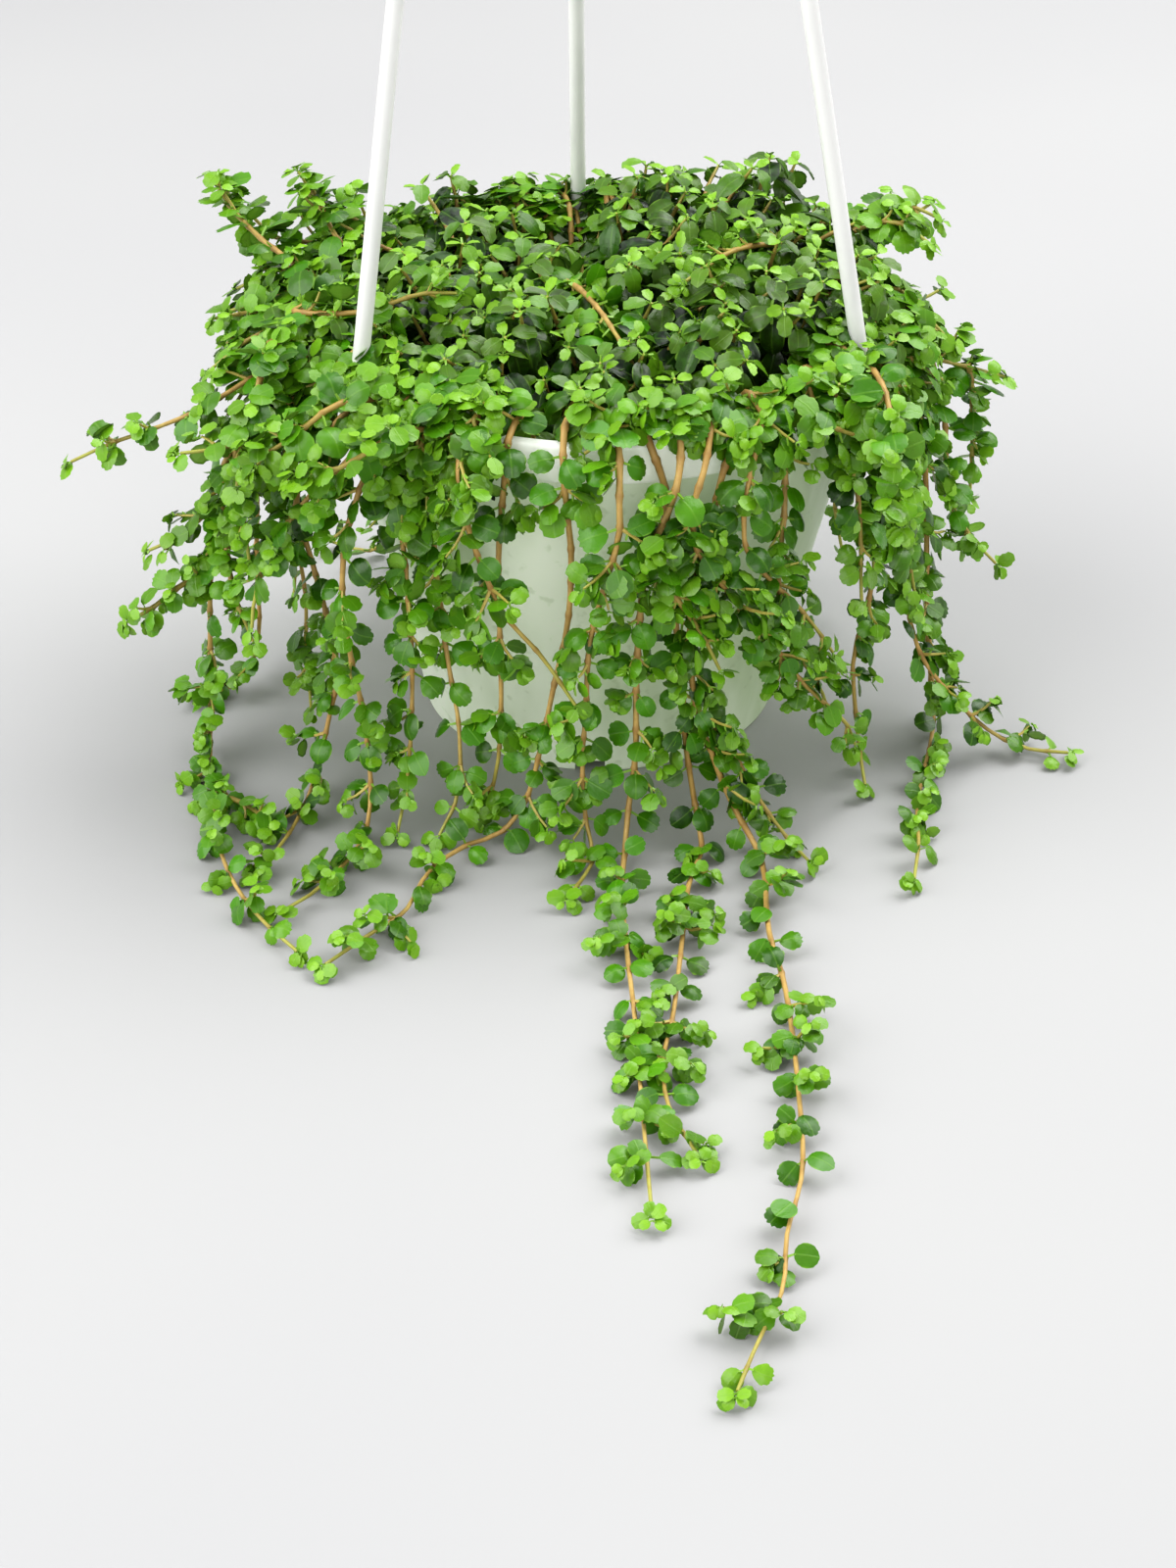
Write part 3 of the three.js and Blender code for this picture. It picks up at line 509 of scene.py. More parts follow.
def pot_finish():
    """White plastic with soft upright stripes of painted shade, for the soil's shade seen through it, and a
    faint painted glow for the light that comes through
    """
    finish = Finish("pot_plastic", Roughness=0.36, Specular_IOR_Level=0.5)
    # Painted shade: greener, darker upright stripes stand for the soil's shade showing through the wall
    painted_shade_streaks = finish.noise(26, 4.0, (1, 1, 0.35)).slope(0.35, 0.7)
    base = finish.mix((236, 240, 229), (188, 202, 172), painted_shade_streaks)
    specks = finish.noise(190, 2.0).slope(0.62, 0.72)
    base = finish.mix(base, (160, 172, 140), specks * 0.35)
    height = finish.node("ShaderNodeSeparateXYZ", inputs={0: finish.place()}, output="Z")
    band = height.slope(0.1065, 0.1085)
    finish.set(Base_Color=finish.mix(base, (246, 247, 245), band), Roughness=0.32 + 0.12 * painted_shade_streaks)
    # Painted glow: a faint emission stands for the light that comes through the thin wall, dimmer in the
    # painted shade
    finish.set(Emission_Color=finish.mix((196, 216, 180), (150, 172, 128), painted_shade_streaks))
    finish.surface.inputs["Emission Strength"].default_value = 0.2
    finish.bump(finish.noise(60, 3.0), 0.08, 0.001)
    return finish.material


def hanger_finish():
    finish = Finish("hanger_plastic", Roughness=0.34, Specular_IOR_Level=0.5)
    wear = finish.noise(70, 3.0, (1, 1, 0.3)).slope(0.45, 0.75)
    finish.set(Base_Color=finish.mix((224, 224, 222), (210, 211, 208), wear), Roughness=0.3 + 0.12 * wear)
    finish.bump(finish.noise(160, 2.0), 0.05, 0.0005)
    return finish.material


def soil_finish():
    """Potting mix: nearly black crumbs with a few lighter fibres"""
    finish = Finish("potting_mix", Roughness=0.95)
    crumbs = finish.noise(230, 6.0)
    base = finish.mix((14, 10, 7), (52, 38, 26), crumbs.slope(0.35, 0.75))
    fibres = finish.noise(420, 2.0).slope(0.66, 0.74)
    finish.set(Base_Color=finish.mix(base, (96, 76, 54), fibres * 0.6))
    finish.bump(crumbs, 0.9, 0.002)
    return finish.material


def floor_finish():
    finish = Finish("studio_floor", Roughness=0.85)
    cloud = finish.noise(2.2, 2.0).slope(0.2, 0.8)
    finish.set(Base_Color=finish.mix((164, 164, 165), (169, 169, 169), cloud))
    return finish.material


FOLIAGE = (leaf_finish(), stem_finish())

# Stems: a name, the angle and radius of the root in the soil, the height at which the stem passes over the
# rim, its route outside the rim, and its shoots, each with the number of the route point it starts from
STEMS = [
    ("left_upper", 156, 62, 128, [(-84, 40, 129), (-97, 43, 129), (-106, 47, 136), (-113, 50, 142)]),
    ("left_arching", 142, 60, 129, [(-74, 47, 134), (-82, 50, 137), (-91, 55, 140)]),
    ("left_low", 187, 66, 125, [(-88, -16, 115), (-105, -33, 90), (-113, -38, 79), (-121, -40, 72),
     (-131, -38, 66)]),
    ("left_reaching", 193, 60, 129, [(-88, -24, 122), (-101, -33, 117), (-114, -39, 111),
     (-126, -42, 107), (-138, -43, 103), (-150, -45, 98)]),
    ("left_inner", 198.5, 66, 124, [(-87, -29, 107), (-91, -30, 90), (-90, -30, 72), (-87, -33, 50),
     (-87, -38, 32), (-86, -44, 16)]),
    ("left_long", 204, 60, 127, [(-86, -36, 120), (-98, -37, 108), (-107, -38, 95), (-109, -39, 81),
     (-113, -41, 62), (-115, -42, 36), (-116, -44, 18), (-116, -52, 5), (-113, -71, 4), (-109, -98, 4),
     (-102, -120, 4), (-93, -137, 4), (-82, -152, 4)], (4, [(-122, -50, 60), (-130, -54, 55),
     (-136, -55, 52)]), (3, [(-107, -49, 72), (-105, -56, 62), (-100, -60, 48)]), (8, [(-107, -77, 5),
     (-100, -84, 6), (-95, -94, 6)])),
    ("left_yellow", 208.5, 66, 125, [(-88, -50, 118), (-101, -60, 111), (-116, -64, 110)],
     (1, [(-101, -64, 101), (-100, -64, 90), (-99, -64, 77)])),
    ("left_floor", 220, 60, 127, [(-72, -59, 118), (-82, -58, 104), (-86, -53, 86), (-83, -54, 74),
     (-78, -58, 52), (-76, -61, 38), (-79, -64, 24), (-83, -68, 8), (-86, -80, 4), (-91, -100, 4),
     (-97, -114, 4)]),
    ("left_short", 224.5, 66, 124, [(-70, -67, 109), (-83, -68, 96), (-93, -66, 80), (-98, -67, 65),
     (-99, -68, 57)]),
    ("front_left_floor", 230, 60, 127, [(-61, -68, 114), (-69, -75, 95), (-72, -75, 76), (-71, -76, 56),
     (-67, -80, 32), (-66, -86, 10), (-68, -97, 4), (-80, -124, 4), (-88, -133, 4)]),
    ("front_left_hanging", 235, 66, 124, [(-51, -71, 112), (-55, -74, 100), (-54, -77, 80),
     (-53, -80, 54), (-54, -82, 29), (-56, -85, 12), (-58, -93, 4)]),
    ("front_left_inner", 240.5, 60, 127, [(-43, -75, 114), (-46, -75, 92), (-45, -75, 70), (-43, -78, 52),
     (-40, -84, 32), (-41, -89, 13), (-46, -95, 4)]),
    ("front_yellow_tip", 246, 66, 127, [(-38, -86, 119), (-37, -91, 107), (-32, -94, 90), (-26, -95, 76),
     (-16, -97, 64), (-7, -99, 50)]),
    ("front_left_straight", 252.5, 60, 124, [(-26, -81, 111), (-28, -82, 88), (-28, -83, 62),
     (-28, -85, 40), (-30, -86, 18), (-35, -87, 5)]),
    ("front_sweeping", 263, 66, 125, [(-10, -86, 117), (-9, -87, 103), (-8, -87, 91), (-9, -88, 70),
     (-13, -89, 50), (-17, -91, 30), (-22, -92, 12), (-29, -94, 4), (-38, -100, 4), (-48, -113, 4),
     (-54, -133, 4), (-63, -144, 4), (-74, -158, 4)]),
    ("front_centre", 273, 60, 127, [(5, -88, 121), (5, -93, 110), (5, -93, 100), (1, -94, 84),
     (-3, -94, 66), (-4, -95, 45), (-5, -96, 30), (-4, -99, 12), (-2, -106, 4), (-5, -117, 4),
     (-9, -126, 4)]),
    ("front_middle_inner", 279, 66, 124, [(17, -83, 111), (18, -83, 98), (20, -83, 84), (21, -86, 68),
     (23, -89, 50), (24, -91, 34), (27, -93, 14), (29, -100, 4), (25, -118, 4), (22, -149, 4),
     (19, -180, 4), (16, -200, 4), (17, -219, 4), (24, -239, 4)]),
    ("front_middle", 285, 60, 127, [(21, -89, 116), (18, -91, 105), (13, -91, 93), (11, -91, 75),
     (10, -92, 50), (10, -93, 30), (8, -96, 13), (7, -104, 4), (6, -122, 4), (7, -149, 4), (9, -184, 4),
     (10, -213, 4), (11, -238, 4), (12, -261, 4)], (2, [(19, -95, 84), (27, -95, 72), (33, -95, 59)])),
    ("front_right_hanging", 291, 66, 128, [(28, -88, 118), (25, -91, 107), (26, -91, 95), (34, -90, 82),
     (41, -88, 72), (49, -85, 60), (59, -80, 44), (70, -76, 31), (74, -71, 20)]),
    ("front_longest", 296.5, 60, 124, [(33, -80, 111), (30, -83, 97), (26, -85, 80), (25, -87, 62),
     (27, -89, 43), (32, -91, 28), (38, -95, 14), (44, -101, 5), (46, -112, 4), (46, -142, 4),
     (49, -168, 4), (50, -213, 4), (49, -245, 4), (44, -268, 4), (42, -287, 4), (35, -306, 4),
     (30, -321, 4)], (4, [(36, -89, 31), (46, -93, 14), (54, -99, 5), (59, -108, 4)])),
    ("front_right_upper", 302, 66, 128, [(42, -79, 118), (39, -86, 104), (40, -87, 92), (47, -84, 81),
     (54, -80, 72), (61, -76, 61), (66, -73, 52)]),
    ("front_right_inner", 308.5, 60, 124, [(51, -67, 111), (51, -70, 94), (50, -72, 78), (51, -71, 62),
     (57, -69, 48), (63, -67, 38), (66, -66, 29)]),
    ("right_dense", 325, 62, 126, [(73, -49, 118), (80, -50, 103), (81, -49, 83), (79, -50, 66),
     (77, -52, 52), (74, -54, 40), (75, -56, 24), (77, -59, 9), (78, -68, 4)]),
    ("right_reaching", 342, 62, 126, [(82, -27, 117), (87, -31, 98), (88, -34, 75), (90, -38, 53),
     (93, -40, 38), (98, -42, 28), (106, -44, 19), (115, -45, 10), (127, -47, 4), (140, -50, 4)]),
    ("right_floor", 349.5, 66, 125, [(85, -16, 116), (94, -18, 92), (97, -20, 63), (98, -24, 40),
     (100, -28, 20), (101, -35, 6), (99, -47, 4), (96, -60, 4), (92, -82, 4), (91, -98, 4),
     (88, -117, 4)]),
    ("right_spreading", 358, 60, 127, [(87, -1, 117), (98, 4, 108), (110, 8, 103), (121, 10, 99)],
     (1, [(103, 1, 88), (105, -3, 66), (112, -6, 54), (120, -9, 46)]), (2, [(112, 10, 91), (113, 10, 74),
     (113, 8, 60)])),
    ("right_rear_low", 13, 66, 126, [(85, 21, 119), (94, 25, 116), (102, 30, 118)]),
    ("right_thin", 27, 60, 124, [(74, 39, 112), (75, 40, 80), (74, 40, 60), (75, 40, 40), (78, 40, 24)]),
    ("right_upper", 38, 66, 128, [(74, 52, 129), (86, 56, 128), (96, 60, 130), (102, 62, 133)]),
    ("rear_right", 48, 60, 125, [(62, 66, 112), (68, 71, 80), (69, 73, 45), (70, 74, 30)]),
    ("rear_right_floor", 61, 66, 125, [(42, 78, 112), (46, 84, 80), (47, 86, 45), (49, 89, 14),
     (54, 99, 4), (60, 113, 4)]),
    ("rear_middle", 77, 60, 126, [(20, 86, 112), (22, 90, 75), (21, 92, 40), (19, 94, 24)]),
    ("rear_left_floor", 107, 66, 125, [(-25, 85, 112), (-27, 90, 75), (-27, 92, 45), (-28, 94, 12),
     (-32, 106, 4), (-40, 120, 4)]),
    ("rear_left", 121, 60, 126, [(-47, 77, 112), (-50, 82, 75), (-51, 84, 42)]),
    ("rear_left_outer", 133, 66, 124, [(-61, 63, 112), (-67, 68, 75), (-68, 70, 45), (-70, 72, 12),
     (-77, 78, 4), (-89, 84, 4)]),
    ("left_rear", 167, 66, 125, [(-87, 19, 113), (-93, 20, 80), (-94, 20, 45), (-96, 20, 20)]),
    ("left_behind", 177.5, 60, 127, [(-91, 2, 113), (-101, 0, 84), (-104, -3, 50), (-106, -5, 14),
     (-112, -9, 4), (-124, -15, 4)]),
]


def away_from_axis(point):
    return unit([point[0], point[1], 0.0])


def outward_of_pot(point, direction):
    """A direction that doesn't run into the pot"""
    outward = away_from_axis(point)
    inward = direction.dot(outward)
    if point[2] < POT_HEIGHT + 4 and inward < -0.1:
        direction = direction - 1.8 * inward * outward
    return unit(direction)


def jitter(rng, amount):
    return rng.uniform(-amount, amount, 3)


# How leaves differ: the least and most of each part of their form, and of what is added to tint and youth
LEAF_FORM = {"width": (0.88, 1.06), "dome": (-0.04, 0.21), "fold": (-0.04, 0.18), "curl": (-0.26, 0.1)}
LEAF_TINT = (-0.32, 0.32)
LEAF_YOUTH = (-0.15, 0.15)


def leaf_shape(rng, tint, youth, small, width=1.0, keel=0.0):
    """The form and colour of one leaf, a little different from the next"""
    shape = {part: rng.uniform(*limits) for part, limits in LEAF_FORM.items()}
    shape["width"] = width * shape["width"] * (1 - 0.12 * youth)
    shape["fold"] = keel + shape["fold"]
    shape["tint"] = np.clip(tint + rng.uniform(*LEAF_TINT), 0, 1)
    shape["youth"] = np.clip(youth + rng.uniform(*LEAF_YOUTH), 0, 1)
    shape["blade"] = SMALL if small else int(rng.integers(SMALL))
    return shape


def leaf_pair(foliage, rng, where, place, size, youth, tint, small=False, petiole=0.36):
    """Two leaves opposite each other at a joint, turned round the stem by an angle. Their faces turn to the
    light, which comes from above and outside the pot."""
    point, tangent, top, side = place
    light = 0.6 * away_from_axis(point) + 0.8 * UP
    for hand in (1, -1):
        angle = math.radians(where + rng.uniform(-18, 18))
        direction = hand * math.cos(angle) * side + hand * math.sin(angle) * top
        if direction.dot(top) < -0.35:
            direction = direction - 1.3 * direction.dot(top) * top
        direction = outward_of_pot(point, unit(direction))
        stalk = unit(direction + (0.35 + 0.35 * youth) * tangent + 0.15 * UP + jitter(rng, 0.2))
        length = size * rng.uniform(0.85, 1.12)
        joint = point + stalk * length * petiole * rng.uniform(0.7, 1.3)
        face = unit(light + 0.45 * top + 0.45 * youth * tangent + 0.3 * direction + jitter(rng, 0.62))
        axis = direction + 0.25 * tangent - 0.15 * UP + jitter(rng, 0.25)
        axis = unit(axis - axis.dot(face) * face)
        foliage.leaf(point, joint, axis, face, length, **leaf_shape(rng, tint, youth, small))


def rosette(foliage, rng, place, size, tint, pairs=3):
    """The bright young leaves at a tip"""
    point, tangent, top, side = place
    for k in range(pairs):
        share = k / pairs
        where = 90 * (k % 2) + rng.uniform(-15, 15)
        shifted = (point + tangent * size * (0.12 + 0.35 * share), tangent, top, side)
        length, youth = size * (0.8 - 0.45 * share), 0.6 + 0.4 * share
        leaf_pair(foliage, rng, where, shifted, length, youth, tint, True, 0.18)


def side_shoot(foliage, rng, place, hand, reach, size, tint):
    """A short shoot from the angle between a leaf and its stem, with its own pairs and bright tip"""
    point, tangent, top, side = place
    sideways, upward, onward = rng.uniform(0.6, 1), rng.uniform(-0.1, 0.8), rng.uniform(0.5, 1.1)
    heading = hand * sideways * side + upward * top + onward * tangent
    heading = outward_of_pot(point, unit(heading + jitter(rng, 0.2)))
    if through_wall(point, point + heading * reach):
        return
    bend = point + heading * reach * 0.5 + jitter(rng, 0.08 * reach)
    tip = point + heading * reach + UP * 0.1 * reach
    bend[2], tip[2] = max(bend[2], SHOOT_LOWEST), max(tip[2], SHOOT_LOWEST)
    route = Route([point, bend, tip])
    joints = spaced(min(2.6, 0.5 * reach), route.length - 1.2, lambda done: rng.uniform(3.2, 4.6))
    points = route.at(np.linspace(0, route.length, 4))
    paint = [(tint, 0.35 + 0.2 * k, 0.1, 1) for k in range(4)]
    foliage.tube(points, np.linspace(0.6, 0.35, 4), 5, paint, STEM_SLOT)
    for k, done in enumerate(joints):
        share = done / route.length
        length, youth = size * (0.95 - 0.17 * share), 0.1 + 0.35 * share
        leaf_pair(foliage, rng, 90 * (k % 2) + 20, route.place(done), length, youth, tint, True, 0.25)
    rosette(foliage, rng, route.place(route.length - 0.3), size * 0.84, tint, pairs=2)


def spaced(start, end, gap_at):
    """Reaches from start to end with gaps given by a function of the reach"""
    reaches, reach = [], start
    while reach < end:
        reaches.append(reach)
        reach += gap_at(reach)
    return reaches


def bare_stem(foliage, route, joints, radius, tip_radius, tint, green_from):
    """The stem's own tube, thicker and redder at its joints and green towards its tip"""
    length = route.length
    by_joints = [joint + beside for joint in joints for beside in (-1.3, 0, 1.3)]
    stations = sorted({0.0, length, *np.arange(0, length, 7.0), *by_joints})
    stations = np.array([s for s in stations if 0 <= s <= length])
    near = np.array([min([abs(s - joint) for joint in joints], default=99) for s in stations])
    taper = radius + (tip_radius - radius) * (stations / length)
    radii = taper * (1 + 0.38 * np.exp(-((near / 1.1) ** 2)))
    redness = np.exp(-((near / 1.8) ** 2))
    green = smooth(green_from, length, stations)
    paint = np.stack([np.full_like(green, tint), green, redness, np.ones_like(green)], axis=-1)
    foliage.tube(route.at(stations), radii, 6, paint, STEM_SLOT)


# Where the front of the pot shows between the leaves: x from and to, height from and to, and the share of
# leaves left out there
BARE_PLACES = [(-35, 63, 104, 123, 0.35), (-14, 30, 105, 125, 0.5), (-30, -7, 40, 106, 0.62)]
# The end of a stem: its bare, green and young-leaved lengths, its thickness and the size of its leaves
STEM_TIP = {"bare": 6, "green": 45, "young": 30, "radius": 0.5, "leaf": 6.6}
# How far out the side shoots of short stems reach
SHORT_BUDS = (3, 7)


def bare_place(rng, point):
    x, y, z = point
    return y < 0 and any(left < x < right and low < z < high and rng.random() < share
                         for left, right, low, high, share in BARE_PLACES)


def leafy_stem(
    foliage, rng, route, first, gap_at, size_at, tint, radius=1.05, buds=0.57, bud_reach=(3.5, 13)
):
    """A trailing stem: its pairs of leaves with shoots beside them, and the young tip"""
    joints = spaced(first, route.length - STEM_TIP["bare"], gap_at)
    bare_stem(foliage, route, joints, radius, STEM_TIP["radius"], tint, route.length - STEM_TIP["green"])
    for k, reach in enumerate(joints):
        place = route.place(reach)
        youth = smooth(route.length - STEM_TIP["young"], route.length, reach) * 0.7
        size = size_at(place[0][2])
        if bare_place(rng, place[0]):
            continue
        leaf_pair(foliage, rng, 14 if k % 2 else 66, place, size * (1 - 0.25 * youth), youth, tint)
        for hand in (1, -1):
            if rng.random() < buds:
                reach_out = min(rng.uniform(*bud_reach), 2 + 0.4 * (route.length - reach))
                side_shoot(foliage, rng, place, hand, reach_out, size, tint)
    rosette(foliage, rng, route.place(route.length - 0.5), STEM_TIP["leaf"], tint)


def over_the_rim(angle, radius, height):
    """The first points of a stem: from its root in the soil to just outside the rim"""
    return [
        polar(radius, angle, SOIL_TOP - ROOT_DEPTH), polar(radius, angle, SOIL_TOP),
        polar(radius + 3, angle, SOIL_TOP + 10), polar(STEM_OVER_RIM, angle, height),
        polar(RIM_RADIUS + 2.5, angle, height - 2),
    ]


def runner_gap(reach):
    """Joints are close on the mound and further apart towards the end of a long runner."""
    return np.interp(reach, (0, 60, 120, 200, 300, 420), (7, 9.5, 12, 14, 17, 23))


def hanging_size(height):
    """Leaves are smaller on the lower parts of the stems."""
    return np.interp(height, (0, 60, 125), (6.7, 7.1, 8.3))


def trailing_stems():
    for number, (name, angle, radius, height, points, *shoots) in enumerate(STEMS):
        rng = np.random.default_rng(SEEDS["stems"] + number)
        foliage = Foliage()
        tint = rng.uniform(0.42, 0.9)
        route = Route([*over_the_rim(angle, radius, height), *points])
        leafy_stem(foliage, rng, route, 26, runner_gap, hanging_size, tint)
        for start, rest in shoots:
            route = Route([points[start], *rest])
            leafy_stem(foliage, rng, route, 5, lambda reach: 8.5, hanging_size, tint, radius=0.9,
                       bud_reach=SHORT_BUDS)
        foliage.piece("leafy_stem_" + name, ["stem_" + name])


# The mound in the middle of the pot: seven tufts, by the place of their middles
TUFT_RING = 37
TUFT_RING_NAMES = ("right", "rear_right", "rear_left", "left", "front_left", "front_right")
TUFTS = {"middle": (0, 2)}
for turn, tuft_name in zip(range(20, 380, 60), TUFT_RING_NAMES):
    TUFTS[tuft_name] = tuple(polar(TUFT_RING, turn)[:2])
# Its shoots: how many, how far out they stand, how far out they stop where the front of the pot shows, and
# their lengths, whole and leafy
MOUND_SHOOTS = 235
MOUND_RADIUS = 88
MOUND_FRONT = 71
MOUND_SHOOT_LENGTH = (24, 34)
MOUND_LEAFY_LENGTH = 19
# Its leaves, narrower and more folded than the stems' leaves
MOUND_LEAF = 11
MOUND_TIP_LEAVES = (7.2, 4.8)
MOUND_LEAF_WIDTH = 0.74
MOUND_LEAF_KEEL = 0.22
# Places where the soil's shade shows between the shoots: x, y and radius
HOLLOWS = [(-46, -42, 8), (24, -66, 7), (38, -64, 7), (-2, 26, 7)]
GOLDEN_ANGLE = math.pi * (3 - math.sqrt(5))


def mound_height(x, y):
    """The top of the foliage: higher at the right and rear, with a valley from the rear rod to the front"""
    height = 136 + smooth(10, 70, y) * (7 * smooth(-10, 20, x) - 2) + 4 * smooth(0, 50, x)
    height -= 10 * smooth(20, 88, -y)
    height += 5.2 * math.sin(x / 9 + 1) * math.cos(y / 10) + 3 * math.sin(x / 6 - y / 7)
    valley = x + 4 + 0.1 * y
    height -= (6 + 14 * smooth(0, 80, y)) * math.exp(-((valley / 13) ** 2))
    return height - 14 * smooth(74, 96, math.hypot(x, y))


def mound():
    pieces = {name: Foliage() for name in TUFTS}
    rng = np.random.default_rng(SEEDS["mound"])
    for i in range(MOUND_SHOOTS):
        r = MOUND_RADIUS * math.sqrt((i + 0.5) / MOUND_SHOOTS)
        turn = i * GOLDEN_ANGLE
        x, y = r * math.cos(turn) + rng.uniform(-4, 4), r * math.sin(turn) + rng.uniform(-4, 4)
        tip = np.array([x, y, mound_height(x, y) + rng.uniform(-5, 5)])
        if r > MOUND_FRONT and y < 0 and BARE_PLACES[0][0] < x < BARE_PLACES[0][1]:
            continue
        if any(math.dist((x, y), hollow[:2]) < hollow[2] for hollow in HOLLOWS):
            continue
        lean = 0.1 + 1.2 * (r / MOUND_RADIUS) ** 3
        heading = unit(lean * away_from_axis(tip) + UP + np.array([0, -0.2, 0]) + jitter(rng, 0.45))
        length = rng.uniform(*MOUND_SHOOT_LENGTH)
        foot = tip - heading * length * 0.8
        foot[:2] *= min(1, 66 / max(np.hypot(*foot[:2]), 1))
        foot[2] = max(min(foot[2], tip[2] - 12), SOIL_TOP - 2)
        bend = tip - heading * length * 0.45 + jitter(rng, 2)
        route = Route([foot, bend, tip])
        foliage = pieces[min(TUFTS, key=lambda name: math.dist(TUFTS[name], (x, y)))]
        tint = rng.uniform(0.02, 0.34) - 0.12 * smooth(0, 30, x)
        start = max(route.length - MOUND_LEAFY_LENGTH, 4)
        joints = spaced(start, route.length - 2, lambda reach: rng.uniform(4.4, 5.6))
        bare_stem(foliage, route, joints, 0.8, 0.4, rng.uniform(0.3, 0.9), route.length - 16)
        for k, reach in enumerate(joints):
            share = k / len(joints)
            where, place = 90 * (k % 2) + 37 * i, route.place(reach)
            size, shaded = MOUND_LEAF - 2.2 * share, tint - 0.22 * (1 - share)
            mound_pair(foliage, rng, where, place, size, 0.3 * share**3, shaded)
        place = route.place(route.length - 0.5)
        for k, size in enumerate(MOUND_TIP_LEAVES):
            where = 90 * ((len(joints) + k) % 2) + 37 * i
            mound_pair(foliage, rng, where, place, size, 0.3 + 0.6 * k, tint, True)
    for name, foliage in pieces.items():
        foliage.piece("leafy_tuft_" + name, ["tuft_" + name])


def mound_pair(foliage, rng, where, place, size, youth, tint, small=False):
    """Leaves of an upright shoot spread out level, with their faces to the sky and a little outward"""
    point, tangent, top, side = place
    for hand in (1, -1):
        angle = math.radians(where + rng.uniform(-14, 14)) + (math.pi if hand < 0 else 0)
        direction = math.cos(angle) * side + math.sin(angle) * top
        length = size * rng.uniform(0.88, 1.12)
        stalk = unit(direction + (0.4 + 0.8 * youth) * tangent + jitter(rng, 0.15))
        joint = point + stalk * length * rng.uniform(0.2, 0.34)
        spread = 0.85 - 1.2 * youth
        forward = np.array([0, -0.15, 0])
        face = unit(0.55 * UP + 0.4 * tangent + spread * direction + forward + jitter(rng, 0.36))
        axis = direction + 0.4 * youth * tangent - 0.2 * UP + jitter(rng, 0.15)
        axis = unit(axis - axis.dot(face) * face)
        shape = leaf_shape(rng, tint, youth, small, MOUND_LEAF_WIDTH, MOUND_LEAF_KEEL)
        foliage.leaf(point, joint, axis, face, length, **shape)


# Stems that lie over the mound
RUNNERS = [
    [[-70, 6, 128], [-86.5, -22, 134], [-66.6, -31.5, 138], [-50.1, -28.4, 142], [-40, -30, 143]],
    [[-16, 30, 120], [-9, 8, 130], [0, -22, 134], [8, -42, 129], [14, -52, 119]],
    [[-40, -40, 118], [-40.5, -56.6, 131], [-40.3, -73.1, 128], [-40.4, -82, 119], [-41, -86, 108]],
    [[-80, -20, 124], [-92.3, -39.4, 132], [-93.8, -53.3, 128], [-98.4, -66.5, 115], [-100, -72, 104]],
    [[-58, -54, 122], [-72.4, -72.1, 128], [-82.9, -77.9, 122], [-96.5, -78.6, 113]],
    [[-40, -66, 118], [-54, -82, 125], [-68.9, -90.2, 119], [-82.4, -89, 114]],
    [[60, 30, 126], [53.8, 12, 140], [38.8, -4, 145], [24.1, -26.2, 145]],
    [[66, -34, 120], [75.5, -49, 128], [79, -62.6, 124], [80.5, -78.5, 112], [82, -84, 98]],
    [[62, 44, 126], [80, 37, 138], [92.9, 33.5, 143], [100, 28, 142]],
    [[58, 26, 122], [76, 28, 138], [88, 24, 142], [97, 18, 138]],
    [[-60, 20, 120], [-76.9, 20.7, 138], [-84, 34, 146], [-90, 44, 150]],
    [[-66, 2, 120], [-88, 10, 134], [-101, 22, 139], [-112, 38, 144], [-116, 46, 148]],
]


def mound_runners():
    foliage = Foliage()
    for number, points in enumerate(RUNNERS):
        rng = np.random.default_rng(SEEDS["runners"] + number)
        leafy_stem(foliage, rng, Route(points), 7, lambda reach: rng.uniform(5, 7.5), lambda height: 8.4,
                   rng.uniform(0.4, 0.8), buds=0.4, bud_reach=SHORT_BUDS)
    foliage.piece("mound_runners")


# Short shoots that spill over the rim: from and to angle, how many, how far out they reach and their height
SKIRTS = {
    "left": (160, 214, 22, (92, 114), (100, 122)),
    "front_left": (214, 244, 11, (88, 98), (98, 118)),
    "front": (246, 292, 3, (82, 86), (117, 122)),
    "right": (316, 384, 24, (86, 104), (98, 122)),
    "right_low": (322, 354, 8, (90, 106), (48, 84)),
    "rear": (24, 160, 34, (88, 102), (98, 124)),
}


def skirts():
    for number, (name, (start, end, count, reaches, heights)) in enumerate(SKIRTS.items()):
        rng = np.random.default_rng(SEEDS["skirts"] + number)
        foliage = Foliage()
        for i in range(count):
            angle = start + (end - start) * (i + rng.uniform(0.1, 0.9)) / count
            out = rng.uniform(*reaches)
            low = rng.uniform(*heights)
            points = [
                polar(rng.uniform(54, 68), angle, SOIL_TOP + 4),
                polar(STEM_OVER_RIM, angle + rng.uniform(-3, 3), rng.uniform(124, 131)),
                polar(0.5 * (84 + out), angle + rng.uniform(-5, 5), 0.5 * (126 + low) + 3),
                polar(out, angle + rng.uniform(-7, 7), low),
            ]
            leafy_stem(foliage, rng, Route(points), 16, lambda reach: rng.uniform(5, 7.5), lambda height: 8,
                       rng.uniform(0.3, 0.8), radius=0.95, buds=0.3, bud_reach=SHORT_BUDS)
        foliage.piece("rim_shoots_" + name)


def lathe_mesh(name, section, sides):
    """A closed body about +Z from [radius, height] pairs in order round the section"""
    section = np.asarray(section, float)
    turns = np.linspace(0, 2 * math.pi, sides, endpoint=False)
    rows = np.stack([
        np.outer(np.cos(turns), section[:, 0]), np.outer(np.sin(turns), section[:, 0]),
        np.tile(section[:, 1], (sides, 1)),
    ], axis=-1).reshape(-1, 3)
    count = len(section)
    faces = []
    for i in range(sides):
        for k in range(count):
            a, b = i * count + k, i * count + (k + 1) % count
            c, d = (i + 1) % sides * count + (k + 1) % count, (i + 1) % sides * count + k
            faces.append((a, d, c, b))
    mesh = mesh_from(name, rows, faces)
    merge_close(mesh)
    return mesh


